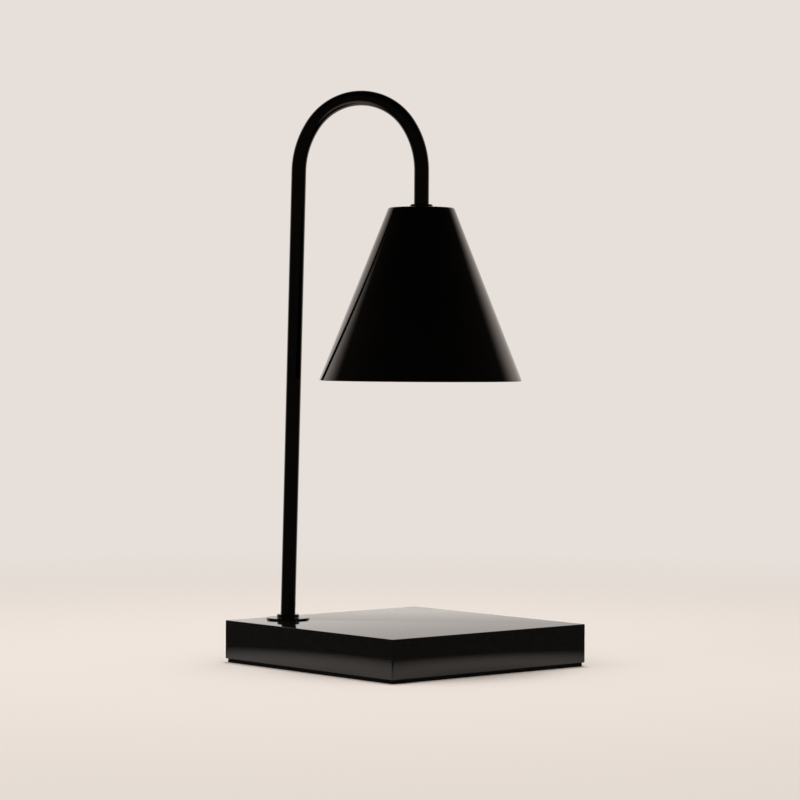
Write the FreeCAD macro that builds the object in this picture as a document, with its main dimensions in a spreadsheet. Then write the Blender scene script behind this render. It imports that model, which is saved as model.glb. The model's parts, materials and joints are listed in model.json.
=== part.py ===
# Candle warmer lamp: a GU10 lamp in a conical shade, hung over a stone base by a crooked tube.
#
# Frame: origin at the centre of the pad's underside, +Z up, +X to the right and +Y to the rear.
# The pole stands near the rear left corner of the base and the arm points over the base's centre.
# Every size is in millimetres and every angle in degrees.

import FreeCAD
import Part
import Sketcher
import math
import os
import re
from FreeCAD import Vector

# ---------------------------------------------------------------------------------------------
# Driving dimensions, kept in the document's spreadsheet
# ---------------------------------------------------------------------------------------------

SIZES = {
    # stone base and its pad
    "base_side": 136.0,
    "base_thickness": 20.5,
    "base_corner": 0.9,             # radius of the four upright corners
    "base_arris": 0.5,              # radius along the top and bottom edges
    "pad_thickness": 2.0,
    "pad_inset": 1.0,
    "pole_from_left": 32.0,
    "pole_from_rear": 14.0,
    "pocket_radius": 24.0,          # round wiring pocket under the slab
    "pocket_wall": 4.0,             # stone left between the pocket and the left and rear sides
    "pocket_depth": 13.5,
    # cord outlet in the rear side
    "gland_offset": 11.5,           # from the pole's axis, to the right
    "gland_height": 6.5,            # above the slab's underside
    "gland_diameter": 8.0,
    "gland_length": 7.0,
    "gland_lip_diameter": 12.0,
    "gland_lip": 1.8,
    "cord_hole": 5.5,
    # tube of the arm
    "tube_diameter": 8.0,
    "tube_wall": 1.0,
    "tube_protrusion": 0.8,         # thread showing past each nut
    "stub_height": 0.6,             # straight tube between the foot collar and the first bend
    "lean_radius": 40.0,
    "pole_lean": 1.2,               # lean of the pole toward the shade
    "pole_height": 240.6,           # slab's top to the start of the crook
    "shoulder_radius": 45.0,
    "shoulder_turn": 34.0,
    "crown_radius": 31.65,
    # collars and foot flange
    "collar_diameter": 12.1,
    "foot_collar_height": 1.7,
    "foot_collar_round": 0.5,
    "shade_collar_height": 1.8,
    "shade_collar_round": 0.7,
    "flange_diameter": 23.2,
    "flange_thickness": 0.7,
    "flange_round": 0.25,
    # swivel under the slab
    "bush_wall": 1.5,
    "bush_lip": 3.0,
    "bush_lip_thickness": 1.2,
    "washer_diameter": 15.0,
    "washer_thickness": 1.0,
    "spring_diameter": 14.0,
    "spring_thickness": 0.5,
    "spring_height": 0.9,
    "nut_flats": 13.0,
    "nut_height": 3.5,
    "nut_chamfer": 0.6,
    # leads and their ends
    "lead_diameter": 2.2,
    "lead_gap": 0.1,                # between the two leads
    "lead_bend_radius": 4.4,        # where the leads spread over the lampholder
    "ferrule_wall": 0.5,
    "ferrule_length": 5.0,
    "ferrule_lip": 0.6,
    "tail_plumb": 0.1,              # straight stretch between the tube's end and the bend
    "tail_bend": 2.7,
    "tail_run": 5.1,
    "tail_splay": 35.0,
    "splice_diameter": 5.0,
    "splice_length": 10.0,
    "splice_grip": 3.0,             # length of lead inside a splice
    "splice_round": 1.2,
    # shade
    "rim_clearance": 128.5,         # slab's top to the shade's rim
    "shade_height": 91.9,
    "shade_rim_diameter": 108.0,
    "shade_top_diameter": 34.9,
    "shade_wall": 1.0,
    "shade_shoulder": 1.4,          # outer radius between the flat top and the cone
    "shade_rim_round": 0.4,
    # bracket that hangs the lampholder
    "bracket_thickness": 1.2,
    "bracket_width": 14.0,
    "bracket_tail": 8.0,            # from the axis to the plates' free ends
    "bracket_leg": 11.0,            # from the axis to the leg's inner face
    "bracket_bend": 0.8,
    "bracket_room": 7.0,            # tube's end to the floor plate, where the leads spread
    "bracket_floor_length": 25.0,
    "bracket_floor_width": 12.0,
    "lead_slot_width": 3.4,
    "head_washer_thickness": 0.8,
    # GU10 lampholder
    "holder_diameter": 27.0,
    "holder_cap_height": 3.0,
    "holder_height": 12.0,
    "holder_lip": 4.5,              # ceramic between the contact chambers and the face
    "holder_round": 0.6,
    "pin_offset": 5.0,              # from the axis to each pin
    "lock_turn": 20.0,
    "entry_diameter": 5.6,
    "slot_width": 3.4,
    "chamber_diameter": 8.8,
    "screw_offset": 9.0,
    "screw_diameter": 3.0,
    "screw_length": 12.0,           # under the head
    "screw_head_diameter": 5.4,
    "screw_head_height": 2.0,
    "screw_head_round": 0.8,
    "contact_strip": 0.4,
    "contact_width": 4.0,
    "contact_reach": 2.6,           # from a pin's axis to the strip's back
    "contact_tip": 1.9,             # from a pin's axis to the strip's free ends
    # GU10 bulb
    "bulb_length": 47.0,
    "bulb_diameter": 50.0,
    "bulb_rim_depth": 5.6,
    "bulb_rim_step": 0.8,
    "bulb_wall": 1.4,
    "bulb_bowl_radius": 42.0,
    "bulb_base_length": 21.0,
    "bulb_base_width": 13.0,
    "bulb_base_height": 9.0,
    "bulb_neck_diameter": 21.0,
    "bulb_neck_height": 4.0,
    "bulb_base_round": 1.0,
    "pin_neck_diameter": 2.8,
    "pin_head_diameter": 4.8,
    "pin_head_height": 2.4,
    "pin_head_round": 0.5,
    "lens_thickness": 1.5,
    "lens_dome": 0.8,
    "lens_seat": 0.9,               # width of the ledge that the lens rests against
    "capsule_diameter": 9.0,
    "capsule_length": 17.0,
    "capsule_wall": 0.8,
    "pinch_length": 8.0,
    "pinch_thickness": 3.4,
    "pinch_root": 2.0,              # solid glass between the pinch and the capsule's hollow
    "coil_diameter": 1.2,
    "coil_length": 5.0,
    "coil_drop": 9.0,               # from the hollow's ceiling to the coil's axis
    "filament_leg": 0.5,            # diameter of the coil's two legs
    "filament_seal": 5.0,           # length of leg in the glass
    # clearances
    "running_clearance": 0.08,      # radial, tube in its bush
    "fit_clearance": 0.05,          # radial, threads and pieces that stay put
    "swivel_clearance": 0.1,        # under the foot collar
    "seat_clearance": 0.3,          # between the bulb and its holder
    "pin_clearance": 0.2,           # under a pin's head
}

# Levels, places and radii that follow from the sizes.  Each formula may use the ones above it.
FORMULAS = {
    "slab_top": "pad_thickness + base_thickness",
    "pocket_roof": "pad_thickness + pocket_depth",
    "pocket_x": "pocket_wall + pocket_radius - base_side / 2",
    "pocket_y": "base_side / 2 - pocket_wall - pocket_radius",
    "pole_x": "pole_from_left - base_side / 2",
    "pole_y": "base_side / 2 - pole_from_rear",
    "arm_turn": "atan2(-(pole_y); -(pole_x))",
    "gland_x": "pole_x + gland_offset",
    "gland_level": "pad_thickness + gland_height",
    "tube_radius": "tube_diameter / 2",
    "tube_bore": "tube_radius - tube_wall",
    # up from the slab
    "flange_top": "slab_top + flange_thickness",
    "foot_collar_under": "flange_top + swivel_clearance",
    "foot_collar_top": "foot_collar_under + foot_collar_height",
    "lean_start": "foot_collar_top + stub_height",
    "bend_start": "slab_top + pole_height",
    "rim_level": "slab_top + rim_clearance",
    "shade_top": "rim_level + shade_height",
    "shade_ceiling": "shade_top - shade_wall",
    # down from the pocket's roof
    "bush_bore": "tube_radius + running_clearance",
    "bush_radius": "bush_bore + bush_wall",
    "bush_under": "pocket_roof - bush_lip_thickness",
    "washer_under": "bush_under - washer_thickness",
    "spring_under": "washer_under - spring_height",
    "foot_nut_under": "spring_under - nut_height",
    "tube_foot_end": "foot_nut_under - tube_protrusion",
    "tail_start": "tube_foot_end - ferrule_lip",
    "tail_level": "tail_start - tail_plumb - tail_bend",
    "tail_reach": "tail_bend + tail_run",
    # down from the shade's top
    "bracket_plate_under": "shade_ceiling - bracket_thickness",
    "head_washer_under": "bracket_plate_under - head_washer_thickness",
    "head_nut_under": "head_washer_under - nut_height",
    "tube_head_end": "head_nut_under - tube_protrusion",
    "bracket_floor_top": "tube_head_end - bracket_room",
    "holder_top": "bracket_floor_top - bracket_thickness",
    "holder_cap_under": "holder_top - holder_cap_height",
    "holder_face": "holder_cap_under - holder_height",
    "chamber_floor": "holder_face + holder_lip",
    "bulb_top": "holder_face - seat_clearance",
    "bulb_neck_top": "bulb_top - bulb_base_height",
    "bulb_neck_under": "bulb_neck_top - bulb_neck_height",
    "bulb_front": "bulb_top - bulb_length",
    "bulb_step": "bulb_front + bulb_rim_depth",
    "lens_back": "bulb_front + lens_dome + lens_thickness + fit_clearance",
    "pin_head_under": "chamber_floor + pin_clearance",
    "pin_top": "pin_head_under + pin_head_height",
    "contact_under": "pin_top + seat_clearance",
    # the crook, from the pole's foot to the plumb leg over the shade
    "lean_end": "lean_start + lean_radius * sin(pole_lean)",
    "pole_run": "(bend_start - lean_end) / cos(pole_lean)",
    "shoulder_end": "pole_lean + shoulder_turn",
    "crown_turn": "180 - pole_lean - 2 * shoulder_turn",
    "reach": "lean_radius * (1 - cos(pole_lean)) + (bend_start - lean_end) * tan(pole_lean)"
             " + shoulder_radius * (cos(pole_lean) - cos(shoulder_end) + 1 - cos(shoulder_turn))"
             " + crown_radius * (cos(shoulder_end) + cos(shoulder_turn))",
    "crook_end": "bend_start + crown_radius * (sin(shoulder_turn) - sin(shoulder_end))"
                 " + shoulder_radius * (sin(shoulder_end) - sin(pole_lean) - sin(shoulder_turn))",
    "head_x": "pole_x + reach * cos(arm_turn)",
    "head_y": "pole_y + reach * sin(arm_turn)",
    # the leads' offset in the tube, and the double bend that spreads them to the pins' offset
    "lead_offset": "(lead_diameter + lead_gap) / 2",
    "lead_spread": "acos(1 - (pin_offset - lead_offset) / (2 * lead_bend_radius))",
    "lead_drop": "2 * lead_bend_radius * sin(lead_spread)",
    "nut_corner": "nut_flats / 2 / cos(30)",
    "nut_bevel_rise": "(nut_corner - nut_flats / 2) * tan(30)",
    "capsule_ceiling": "bulb_neck_under - pinch_root",
    "capsule_tip": "bulb_neck_under - capsule_length",
    "coil_level": "capsule_ceiling - coil_drop",
    "leg_offset": "coil_length / 2 - filament_leg",
    "lens_edge": "bulb_diameter / 2 - bulb_wall - fit_clearance",
    "lens_radius": "(lens_dome + lens_edge ^ 2 / lens_dome) / 2",
}

TOUCH = 1e-4    # two lengths this close are the same

doc = FreeCAD.newDocument("candle_warmer_lamp")


def fill_sheet():
    """Write the driving dimensions into the spreadsheet, one aliased cell each."""
    cells = doc.addObject("Spreadsheet::Sheet", "Sizes")
    for row, (name, size) in enumerate(SIZES.items(), start=1):
        cells.set(f"A{row}", name)
        cells.set(f"B{row}", str(size))
        cells.setAlias(f"B{row}", name)
    doc.recompute()
    return cells


sheet = fill_sheet()


def expand(text):
    """Turn a formula in plain names into an expression on the spreadsheet's cells."""
    def swap(word):
        name = word.group(0)
        if name in FORMULAS:
            return "(" + expand(FORMULAS[name]) + ")"
        return "Sizes." + name if name in SIZES else name
    return re.sub(r"[a-z][a-z_0-9]*", swap, str(text))


def value(text):
    """The present value of a formula, as a plain number."""
    result = sheet.evalExpression(expand(text))
    return float(getattr(result, "Value", result))


def bind(item, prop, text):
    """Drive a property by a formula."""
    item.setExpression(prop, expand(text))


# ---------------------------------------------------------------------------------------------
# Bodies, sketches and features
# ---------------------------------------------------------------------------------------------

def new_body(label):
    """An empty body whose label names the piece."""
    body = doc.addObject("PartDesign::Body", label)
    body.Label = label
    return body


def sketch_on(body, role, shift=("0", "0", "0")):
    """A sketch on one of the body's own origin planes, moved by shift in the sketch's axes."""
    sketch = body.newObject("Sketcher::SketchObject", body.Name + "_sketch")
    plane = next(p for p in body.Origin.OriginFeatures if p.Role == role)
    sketch.AttachmentSupport = [(plane, "")]
    sketch.MapMode = "FlatFace"
    for axis, text in zip("xyz", shift):
        if text != "0":
            bind(sketch, f".AttachmentOffset.Base.{axis}", text)
    return sketch


def constrain(sketch, name, text, *terms):
    """Add a named dimension that a formula drives."""
    index = sketch.addConstraint(Sketcher.Constraint(*terms))
    sketch.renameConstraint(index, name)
    bind(sketch, f"Constraints.{name}", text)


def add_arc(sketch, start, middle, finish, leftward):
    """Draw an arc and return its index and the numbers of its two ends, in its way's order.

    leftward tells that the way turns left; the sketcher keeps every arc in that direction.
    """
    if leftward:
        return sketch.addGeometry(Part.Arc(start, middle, finish), False), 1, 2
    return sketch.addGeometry(Part.Arc(finish, middle, start), False), 2, 1


def add_outline(sketch, corners):
    """Draw a closed outline through corners (x, y) or (x, y, radius).

    A radius makes the stretch to the next corner an arc that bulges to the left of its way,
    or to the right where the radius starts with a minus sign.  The word half in place of the
    radius makes it half a circle.
    """
    points = [Vector(value(c[0]), value(c[1]), 0) for c in corners]
    ends = []
    for i, corner in enumerate(corners):
        start, finish = points[i], points[(i + 1) % len(points)]
        if len(corner) == 2:
            ends.append((sketch.addGeometry(Part.LineSegment(start, finish), False), 1, 2))
            continue
        side = -1 if corner[2].startswith("-") else 1
        half = (finish - start) / 2
        size = corner[2].lstrip("-")
        radius = half.Length if size == "half" else value(size)
        rise = radius - math.sqrt(max(radius * radius - half.Length * half.Length, 0))
        left = Vector(-half.y, half.x, 0).normalize() * side
        ends.append(add_arc(sketch, start, start + half + left * rise, finish, side == -1))
    for i, corner in enumerate(corners):
        index, first, last = ends[i]
        after = ends[(i + 1) % len(ends)]
        sketch.addConstraint(Sketcher.Constraint("Coincident", index, last, after[0], after[1]))
        constrain(sketch, f"x{index}", corner[0], "DistanceX", -1, 1, index, first, points[i].x)
        constrain(sketch, f"y{index}", corner[1], "DistanceY", -1, 1, index, first, points[i].y)
        if len(corner) == 2:
            continue
        size = corner[2].lstrip("-")
        if size != "half":
            constrain(sketch, f"r{index}", size, "Radius", index, value(size))
            continue
        following = corners[(i + 1) % len(corners)]
        middle = [f"(({here}) + ({there})) / 2" for here, there in zip(corner, following[:2])]
        chord = points[(i + 1) % len(points)] - points[i]
        if abs(chord.x) > abs(chord.y):
            constrain(sketch, f"m{index}", middle[1], "DistanceY", -1, 1, index, 3,
                      value(middle[1]))
        else:
            constrain(sketch, f"m{index}", middle[0], "DistanceX", -1, 1, index, 3,
                      value(middle[0]))


def add_circle(sketch, x, y, radius):
    """Draw a circle by its centre and radius."""
    centre = Vector(value(x), value(y), 0)
    circle = Part.Circle(centre, Vector(0, 0, 1), value(radius))
    index = sketch.addGeometry(circle, False)
    constrain(sketch, f"cx{index}", x, "DistanceX", -1, 1, index, 3, centre.x)
    constrain(sketch, f"cy{index}", y, "DistanceY", -1, 1, index, 3, centre.y)
    constrain(sketch, f"cr{index}", radius, "Radius", index, value(radius))


def add_rectangle(sketch, half_x, half_y):
    """Draw a rectangle centred on the sketch's origin."""
    low_x, low_y = f"-({half_x})", f"-({half_y})"
    add_outline(sketch, [(low_x, low_y), (half_x, low_y), (half_x, half_y), (low_x, half_y)])


def add_obround(sketch, half_length, radius, along="x"):
    """Draw a slot with round ends, centred on the sketch's origin."""
    far, side = f"({half_length}) - ({radius})", f"({radius})"
    ways = [(far, f"-{side}", "-half"), (far, side), (f"-({far})", side, "-half"),
            (f"-({far})", f"-{side}")]
    if along == "y":
        ways = [(f"-({w[1]})", w[0]) + tuple(w[2:]) for w in ways]
    add_outline(sketch, ways)


def feature(body, kind, sketch, **settings):
    """Add a sketch-based feature; a setting given as text is a formula."""
    item = body.newObject("PartDesign::" + kind, body.Name + "_" + kind.lower())
    item.Profile = sketch
    for prop, setting in settings.items():
        if isinstance(setting, str):
            bind(item, prop, setting)
        else:
            setattr(item, prop, setting)
    sketch.Visibility = False
    doc.recompute()
    return item


def pad(body, sketch, length, **settings):
    """Raise a sketch into a solid."""
    return feature(body, "Pad", sketch, Length=length, **settings)


def cut(body, sketch, length, **settings):
    """Cut a sketch out of the body and make sure that the cut took something away."""
    before = body.Shape.Volume
    item = feature(body, "Pocket", sketch, Length=length, **settings)
    if body.Shape.Volume >= before:
        raise RuntimeError(f"{item.Name} cuts nothing")
    return item


def turn(body, sketch, axis="V_Axis", kind="Revolution"):
    """Revolve a sketch round one of its own axes."""
    item = body.newObject("PartDesign::" + kind, body.Name + "_" + kind.lower())
    item.Profile = sketch
    item.ReferenceAxis = (sketch, [axis])
    item.Angle = 360
    doc.recompute()
    return item


def turned(label, corners):
    """A body turned round its upright axis from an outline in radius and height."""
    body = new_body(label)
    sketch = sketch_on(body, "XZ_Plane")
    add_outline(sketch, corners)
    turn(body, sketch)
    return body


def repeat_round(body, features, count):
    """Repeat features round the body's upright axis."""
    pattern = body.newObject("PartDesign::PolarPattern", body.Name + "_pattern")
    pattern.Originals = features
    pattern.Axis = (features[0].Profile[0], ["N_Axis"])
    pattern.Angle = 360
    pattern.Occurrences = count
    body.Tip = pattern
    doc.recompute()
    return pattern


def round_edges(body, radius, wanted):
    """Fillet the edges of the body's last feature that the test picks."""
    last = body.Tip
    names = [f"Edge{i}" for i, edge in enumerate(last.Shape.Edges, start=1) if wanted(edge)]
    item = body.newObject("PartDesign::Fillet", body.Name + "_fillet")
    item.Base = (last, names)
    bind(item, "Radius", radius)
    doc.recompute()
    return item


def upright(edge):
    """Whether an edge is a straight upright one."""
    return abs(edge.BoundBox.ZLength - edge.Length) < TOUCH


def level_at(height):
    """A test for edges that lie wholly at a height."""
    target = value(height)

    def wanted(edge):
        return abs(edge.BoundBox.ZMin - target) + abs(edge.BoundBox.ZMax - target) < TOUCH
    return wanted


def circle_at(height, radius):
    """A test for the circle of a radius about the upright axis at a height."""
    level, size = level_at(height), value(radius)
    return lambda edge: level(edge) and abs(edge.Curve.Radius - size) < TOUCH


def place(item, x="0", y="0", angle="0"):
    """Move a piece to its place on the base and turn it about its upright axis."""
    for axis, text in (("x", x), ("y", y)):
        if text != "0":
            bind(item, f".Placement.Base.{axis}", text)
    if angle != "0":
        item.Placement.Rotation = FreeCAD.Rotation(Vector(0, 0, 1), 1)
        bind(item, ".Placement.Rotation.Angle", angle)


def on_pole(item):
    """Put a piece on the pole's swivel axis, turned with the arm."""
    place(item, "pole_x", "pole_y", "arm_turn")
    return item


def on_head(item):
    """Put a piece on the shade's axis, turned with the arm."""
    place(item, "head_x", "head_y", "arm_turn")
    return item


def group(label, members):
    """Gather like solids in one node."""
    item = doc.addObject("Part::Compound", label)
    item.Label = label
    item.Links = members
    return item


# ---------------------------------------------------------------------------------------------
# Shapes that several pieces share
# ---------------------------------------------------------------------------------------------

def ring(label, bore, radius, under, top, rounding=None):
    """A flat ring, with its upper outer edge rounded where a rounding is given."""
    if rounding is None:
        return turned(label, [(bore, under), (radius, under), (radius, top), (bore, top)])
    return turned(label, [
        (bore, under), (radius, under),
        (radius, f"{top} - {rounding}", f"-{rounding}"),
        (f"{radius} - {rounding}", top),
        (bore, top)])


def hexagon_nut(label, under):
    """A thin hexagon nut with both faces chamfered at the corners."""
    body = new_body(label)
    outline = sketch_on(body, "XY_Plane", ("0", "0", under))
    add_outline(outline, [(f"nut_corner * cos({60 * i})", f"nut_corner * sin({60 * i})")
                          for i in range(6)])
    add_circle(outline, "0", "0", "tube_radius + fit_clearance")
    pad(body, outline, "nut_height")
    for face, inward in ((under, "+"), (f"{under} + nut_height", "-")):
        bevel = sketch_on(body, "XZ_Plane")
        add_outline(bevel, [
            ("nut_flats / 2", face),
            ("nut_corner + nut_chamfer", f"{face} {inward} (nut_bevel_rise + nut_chamfer)"),
            ("nut_corner + nut_chamfer", face)])
        turn(body, bevel, kind="Groove")
    return body


def swung(vector, angle):
    """A vector of a sketch's plane, turned to the left by an angle in radians."""
    return Vector(vector.x * math.cos(angle) - vector.y * math.sin(angle),
                  vector.x * math.sin(angle) + vector.y * math.cos(angle), 0)


def bent_path(body, start_x, start_z, heading, runs):
    """A sketched path of straight runs and tangent arcs in the body's XZ plane.

    heading is 1 for a path that starts upward and -1 for one that starts downward.  A run is
    ("line", length) or ("arc", radius, turn, side), where side is 1 for a turn to the right
    of the path and -1 for one to the left.
    """
    sketch = sketch_on(body, "XZ_Plane")
    point = Vector(value(start_x), value(start_z), 0)
    way = Vector(0, heading, 0)
    last = None
    for run in runs:
        if run[0] == "line":
            finish = point + way * value(run[1])
            index = sketch.addGeometry(Part.LineSegment(point, finish), False)
            first, end = 1, 2
        else:
            radius, angle, side = value(run[1]), math.radians(value(run[2])), run[3]
            centre = point + swung(way, -side * math.pi / 2) * radius
            middle = centre + swung(point - centre, -side * angle / 2)
            finish = centre + swung(point - centre, -side * angle)
            index, first, end = add_arc(sketch, point, middle, finish, side == -1)
            way = swung(way, -side * angle)
        if last is None:
            constrain(sketch, "start_x", start_x, "DistanceX", -1, 1, index, first, point.x)
            constrain(sketch, "start_z", start_z, "DistanceY", -1, 1, index, first, point.y)
            sketch.addConstraint(Sketcher.Constraint("Vertical", index))
        else:
            sketch.addConstraint(Sketcher.Constraint("Tangent", last[0], last[1], index, first))
        if run[0] == "line":
            constrain(sketch, f"length{index}", run[1], "Distance", index, value(run[1]))
        else:
            constrain(sketch, f"radius{index}", run[1], "Radius", index, radius)
            constrain(sketch, f"turn{index}", run[2], "Angle", index, angle)
        last = (index, end)
        point = finish
    return sketch


def bent_round(label, start_x, start_z, heading, runs, radius, bore=None):
    """A round bar, or a tube where a bore is given, swept along a bent path."""
    body = new_body(label)
    path = bent_path(body, start_x, start_z, heading, runs)
    section = sketch_on(body, "XY_Plane", ("0", "0", start_z))
    add_circle(section, start_x, "0", radius)
    if bore is not None:
        add_circle(section, start_x, "0", bore)
    sweep = body.newObject("PartDesign::AdditivePipe", label + "_sweep")
    sweep.Profile = section
    sweep.Spine = (path, [f"Edge{i + 1}" for i in range(len(runs))])
    doc.recompute()
    return body


# ---------------------------------------------------------------------------------------------
# Base
# ---------------------------------------------------------------------------------------------

def make_base_slab():
    """The stone slab, with the pole's hole, the wiring pocket and the cord outlet."""
    body = new_body("base_slab")
    square = sketch_on(body, "XY_Plane", ("0", "0", "pad_thickness"))
    add_rectangle(square, "base_side / 2", "base_side / 2")
    pad(body, square, "base_thickness")
    round_edges(body, "base_corner", upright)
    top, bottom = level_at("slab_top"), level_at("pad_thickness")
    round_edges(body, "base_arris", lambda edge: top(edge) or bottom(edge))

    pocket = sketch_on(body, "XY_Plane", ("0", "0", "pad_thickness"))
    add_circle(pocket, "pocket_x", "pocket_y", "pocket_radius")
    cut(body, pocket, "pocket_depth", Reversed=True)

    hole = sketch_on(body, "XY_Plane", ("0", "0", "pad_thickness"))
    add_circle(hole, "pole_x", "pole_y", "bush_radius + fit_clearance")
    cut(body, hole, "base_thickness", Reversed=True)

    outlet_shift = ("gland_x", "gland_level", "-base_side / 2")
    outlet = sketch_on(body, "XZ_Plane", outlet_shift)
    add_circle(outlet, "0", "0", "gland_diameter / 2 + fit_clearance")
    cut(body, outlet, "pole_from_rear", Reversed=True)
    seat = sketch_on(body, "XZ_Plane", outlet_shift)
    add_circle(seat, "0", "0", "gland_lip_diameter / 2 + fit_clearance")
    cut(body, seat, "gland_lip", Reversed=True)
    return body


def make_base_pad():
    """The foam pad stuck to the slab's underside, which closes the wiring pocket."""
    body = new_body("base_pad")
    square = sketch_on(body, "XY_Plane")
    add_rectangle(square, "base_side / 2 - pad_inset", "base_side / 2 - pad_inset")
    pad(body, square, "pad_thickness")
    round_edges(body, "base_corner", upright)
    return body


def make_cord_gland():
    """The rubber grommet in the slab's rear side, flush with the stone."""
    body = new_body("cord_gland")
    outline = sketch_on(body, "YZ_Plane", ("base_side / 2", "gland_level", "0"))
    add_outline(outline, [
        ("0", "cord_hole / 2"),
        ("0", "gland_lip_diameter / 2"),
        ("-gland_lip", "gland_lip_diameter / 2"),
        ("-gland_lip", "gland_diameter / 2"),
        ("-gland_length", "gland_diameter / 2"),
        ("-gland_length", "cord_hole / 2")])
    turn(body, outline, "H_Axis")
    place(body, "gland_x")
    return body


# ---------------------------------------------------------------------------------------------
# Foot of the arm: flange, collar and the friction swivel under the slab
# ---------------------------------------------------------------------------------------------

def make_foot():
    """The pieces on the pole's axis, from the collar down to the ferrule."""
    fitted = "tube_radius + fit_clearance"
    on_pole(ring("foot_flange", "bush_bore", "flange_diameter / 2", "slab_top", "flange_top",
                 "flange_round"))
    on_pole(ring("foot_collar", fitted, "collar_diameter / 2", "foot_collar_under",
                 "foot_collar_top", "foot_collar_round"))
    on_pole(turned("foot_bush", [
        ("bush_bore", "bush_under"), ("bush_radius + bush_lip", "bush_under"),
        ("bush_radius + bush_lip", "pocket_roof"), ("bush_radius", "pocket_roof"),
        ("bush_radius", "slab_top"), ("bush_bore", "slab_top")]))
    on_pole(ring("foot_washer", fitted, "washer_diameter / 2", "washer_under", "bush_under"))
    on_pole(turned("foot_spring_washer", [
        (fitted, "spring_under"), (fitted, "spring_under + spring_thickness"),
        ("spring_diameter / 2", "washer_under"),
        ("spring_diameter / 2", "washer_under - spring_thickness")]))
    on_pole(hexagon_nut("foot_nut", "foot_nut_under"))
    on_pole(make_ferrule("foot_ferrule", "tube_foot_end", "+", "-"))


def make_ferrule(label, end, inward, outward):
    """A plastic ferrule in a cut end of the tube: a sleeve inside and a lip over the edge."""
    sleeve = "tube_bore - fit_clearance"
    bore = f"{sleeve} - ferrule_wall"
    lip = f"{end} {outward} ferrule_lip"
    return turned(label, [
        (bore, lip), ("tube_radius", lip), ("tube_radius", end), (sleeve, end),
        (sleeve, f"{end} {inward} ferrule_length"), (bore, f"{end} {inward} ferrule_length")])


# ---------------------------------------------------------------------------------------------
# Arm: the bent tube and the leads inside it
# ---------------------------------------------------------------------------------------------

def crook_runs(start, outset):
    """The runs of the arm's path from a level up, moved outset toward the outside of its bends."""
    return [
        ("line", f"lean_start - ({start})"),
        ("arc", f"lean_radius + {outset}", "pole_lean", 1),
        ("line", "pole_run"),
        ("arc", f"shoulder_radius + {outset}", "shoulder_turn", 1),
        ("arc", f"crown_radius + {outset}", "crown_turn", 1),
        ("arc", f"shoulder_radius + {outset}", "shoulder_turn", 1)]


def make_arm_tube():
    """Pole, crook and drop leg in one bent tube, threaded at both ends for its nuts."""
    runs = crook_runs("tube_foot_end", "0") + [("line", "crook_end - (tube_head_end)")]
    return on_pole(bent_round("arm_tube", "0", "tube_foot_end", 1, runs, "tube_radius",
                              "tube_bore"))


def make_lamp_leads():
    """The two insulated leads, side by side in the tube and spread out to the holder."""
    leads = []
    for number, side in enumerate((1, -1), start=1):
        outset = "lead_offset" if side == 1 else "-lead_offset"
        runs = crook_runs("tail_start", outset) + [
            ("line", "crook_end - (bracket_floor_top) - lead_drop + bracket_thickness / 2"),
            ("arc", "lead_bend_radius", "lead_spread", -side),
            ("arc", "lead_bend_radius", "lead_spread", side),
            ("line", "bracket_floor_top - bracket_thickness / 2 - (holder_cap_under)")]
        start_x = f"-({outset})"
        leads.append(on_pole(bent_round(f"lamp_lead_{number}", start_x, "tail_start", 1, runs,
                                        "lead_diameter / 2")))
    return group("lamp_leads", leads)


def make_lead_tails():
    """The leads' lower ends, bent flat under the tube, each with its crimp cap."""
    tails, splices = [], []
    for number, side in enumerate((1, -1), start=1):
        runs = [("line", "tail_plumb"), ("arc", "tail_bend", "90", -1), ("line", "tail_run")]
        tail = bent_round(f"lead_tail_{number}", "0", "tail_start", -1, runs,
                          "lead_diameter / 2")
        cap = new_body(f"lead_splice_{number}")
        outline = sketch_on(cap, "XZ_Plane", ("0", "tail_level", "0"))
        mouth, socket_end = "tail_reach - splice_grip", "tail_reach + fit_clearance"
        tip = f"{mouth} + splice_length"
        radius, socket = "splice_diameter / 2", "lead_diameter / 2 + fit_clearance"
        add_outline(outline, [
            (mouth, socket), (mouth, radius),
            (f"{tip} - splice_round", radius, "splice_round"),
            (tip, f"{radius} - splice_round"), (tip, "0"),
            (socket_end, "0"), (socket_end, socket)])
        turn(cap, outline, "H_Axis")
        for piece in (tail, cap):
            place(piece, f"pole_x + {side} * lead_offset * cos(arm_turn)",
                  f"pole_y + {side} * lead_offset * sin(arm_turn)",
                  f"arm_turn - 90 deg + {side} * tail_splay * 1 deg")
        tails.append(tail)
        splices.append(cap)
    group("lead_tails", tails)
    group("lead_splices", splices)


# ---------------------------------------------------------------------------------------------
# Shade and the pieces that clamp it to the tube
# ---------------------------------------------------------------------------------------------

def make_shade():
    """The spun shade: a cone under a small flat top, with a rounded lower edge."""
    body = new_body("shade")
    half = sketch_on(body, "XZ_Plane")
    add_outline(half, [
        ("0", "rim_level"), ("shade_rim_diameter / 2", "rim_level"),
        ("shade_top_diameter / 2", "shade_top"), ("0", "shade_top")])
    turn(body, half)
    round_edges(body, "shade_shoulder", circle_at("shade_top", "shade_top_diameter / 2"))
    last = body.Tip
    rim = value("rim_level")
    mouth = [f"Face{i}" for i, face in enumerate(last.Shape.Faces, start=1)
             if face.BoundBox.ZMax - rim < TOUCH]
    shell = body.newObject("PartDesign::Thickness", "shade_shell")
    shell.Base = (last, mouth)
    bind(shell, "Value", "shade_wall")
    shell.Reversed = True
    doc.recompute()
    round_edges(body, "shade_rim_round", level_at("rim_level"))
    hole = sketch_on(body, "XY_Plane", ("0", "0", "shade_top"))
    add_circle(hole, "0", "0", "tube_radius + fit_clearance")
    cut(body, hole, "shade_wall + fit_clearance")
    return on_head(body)


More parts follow.
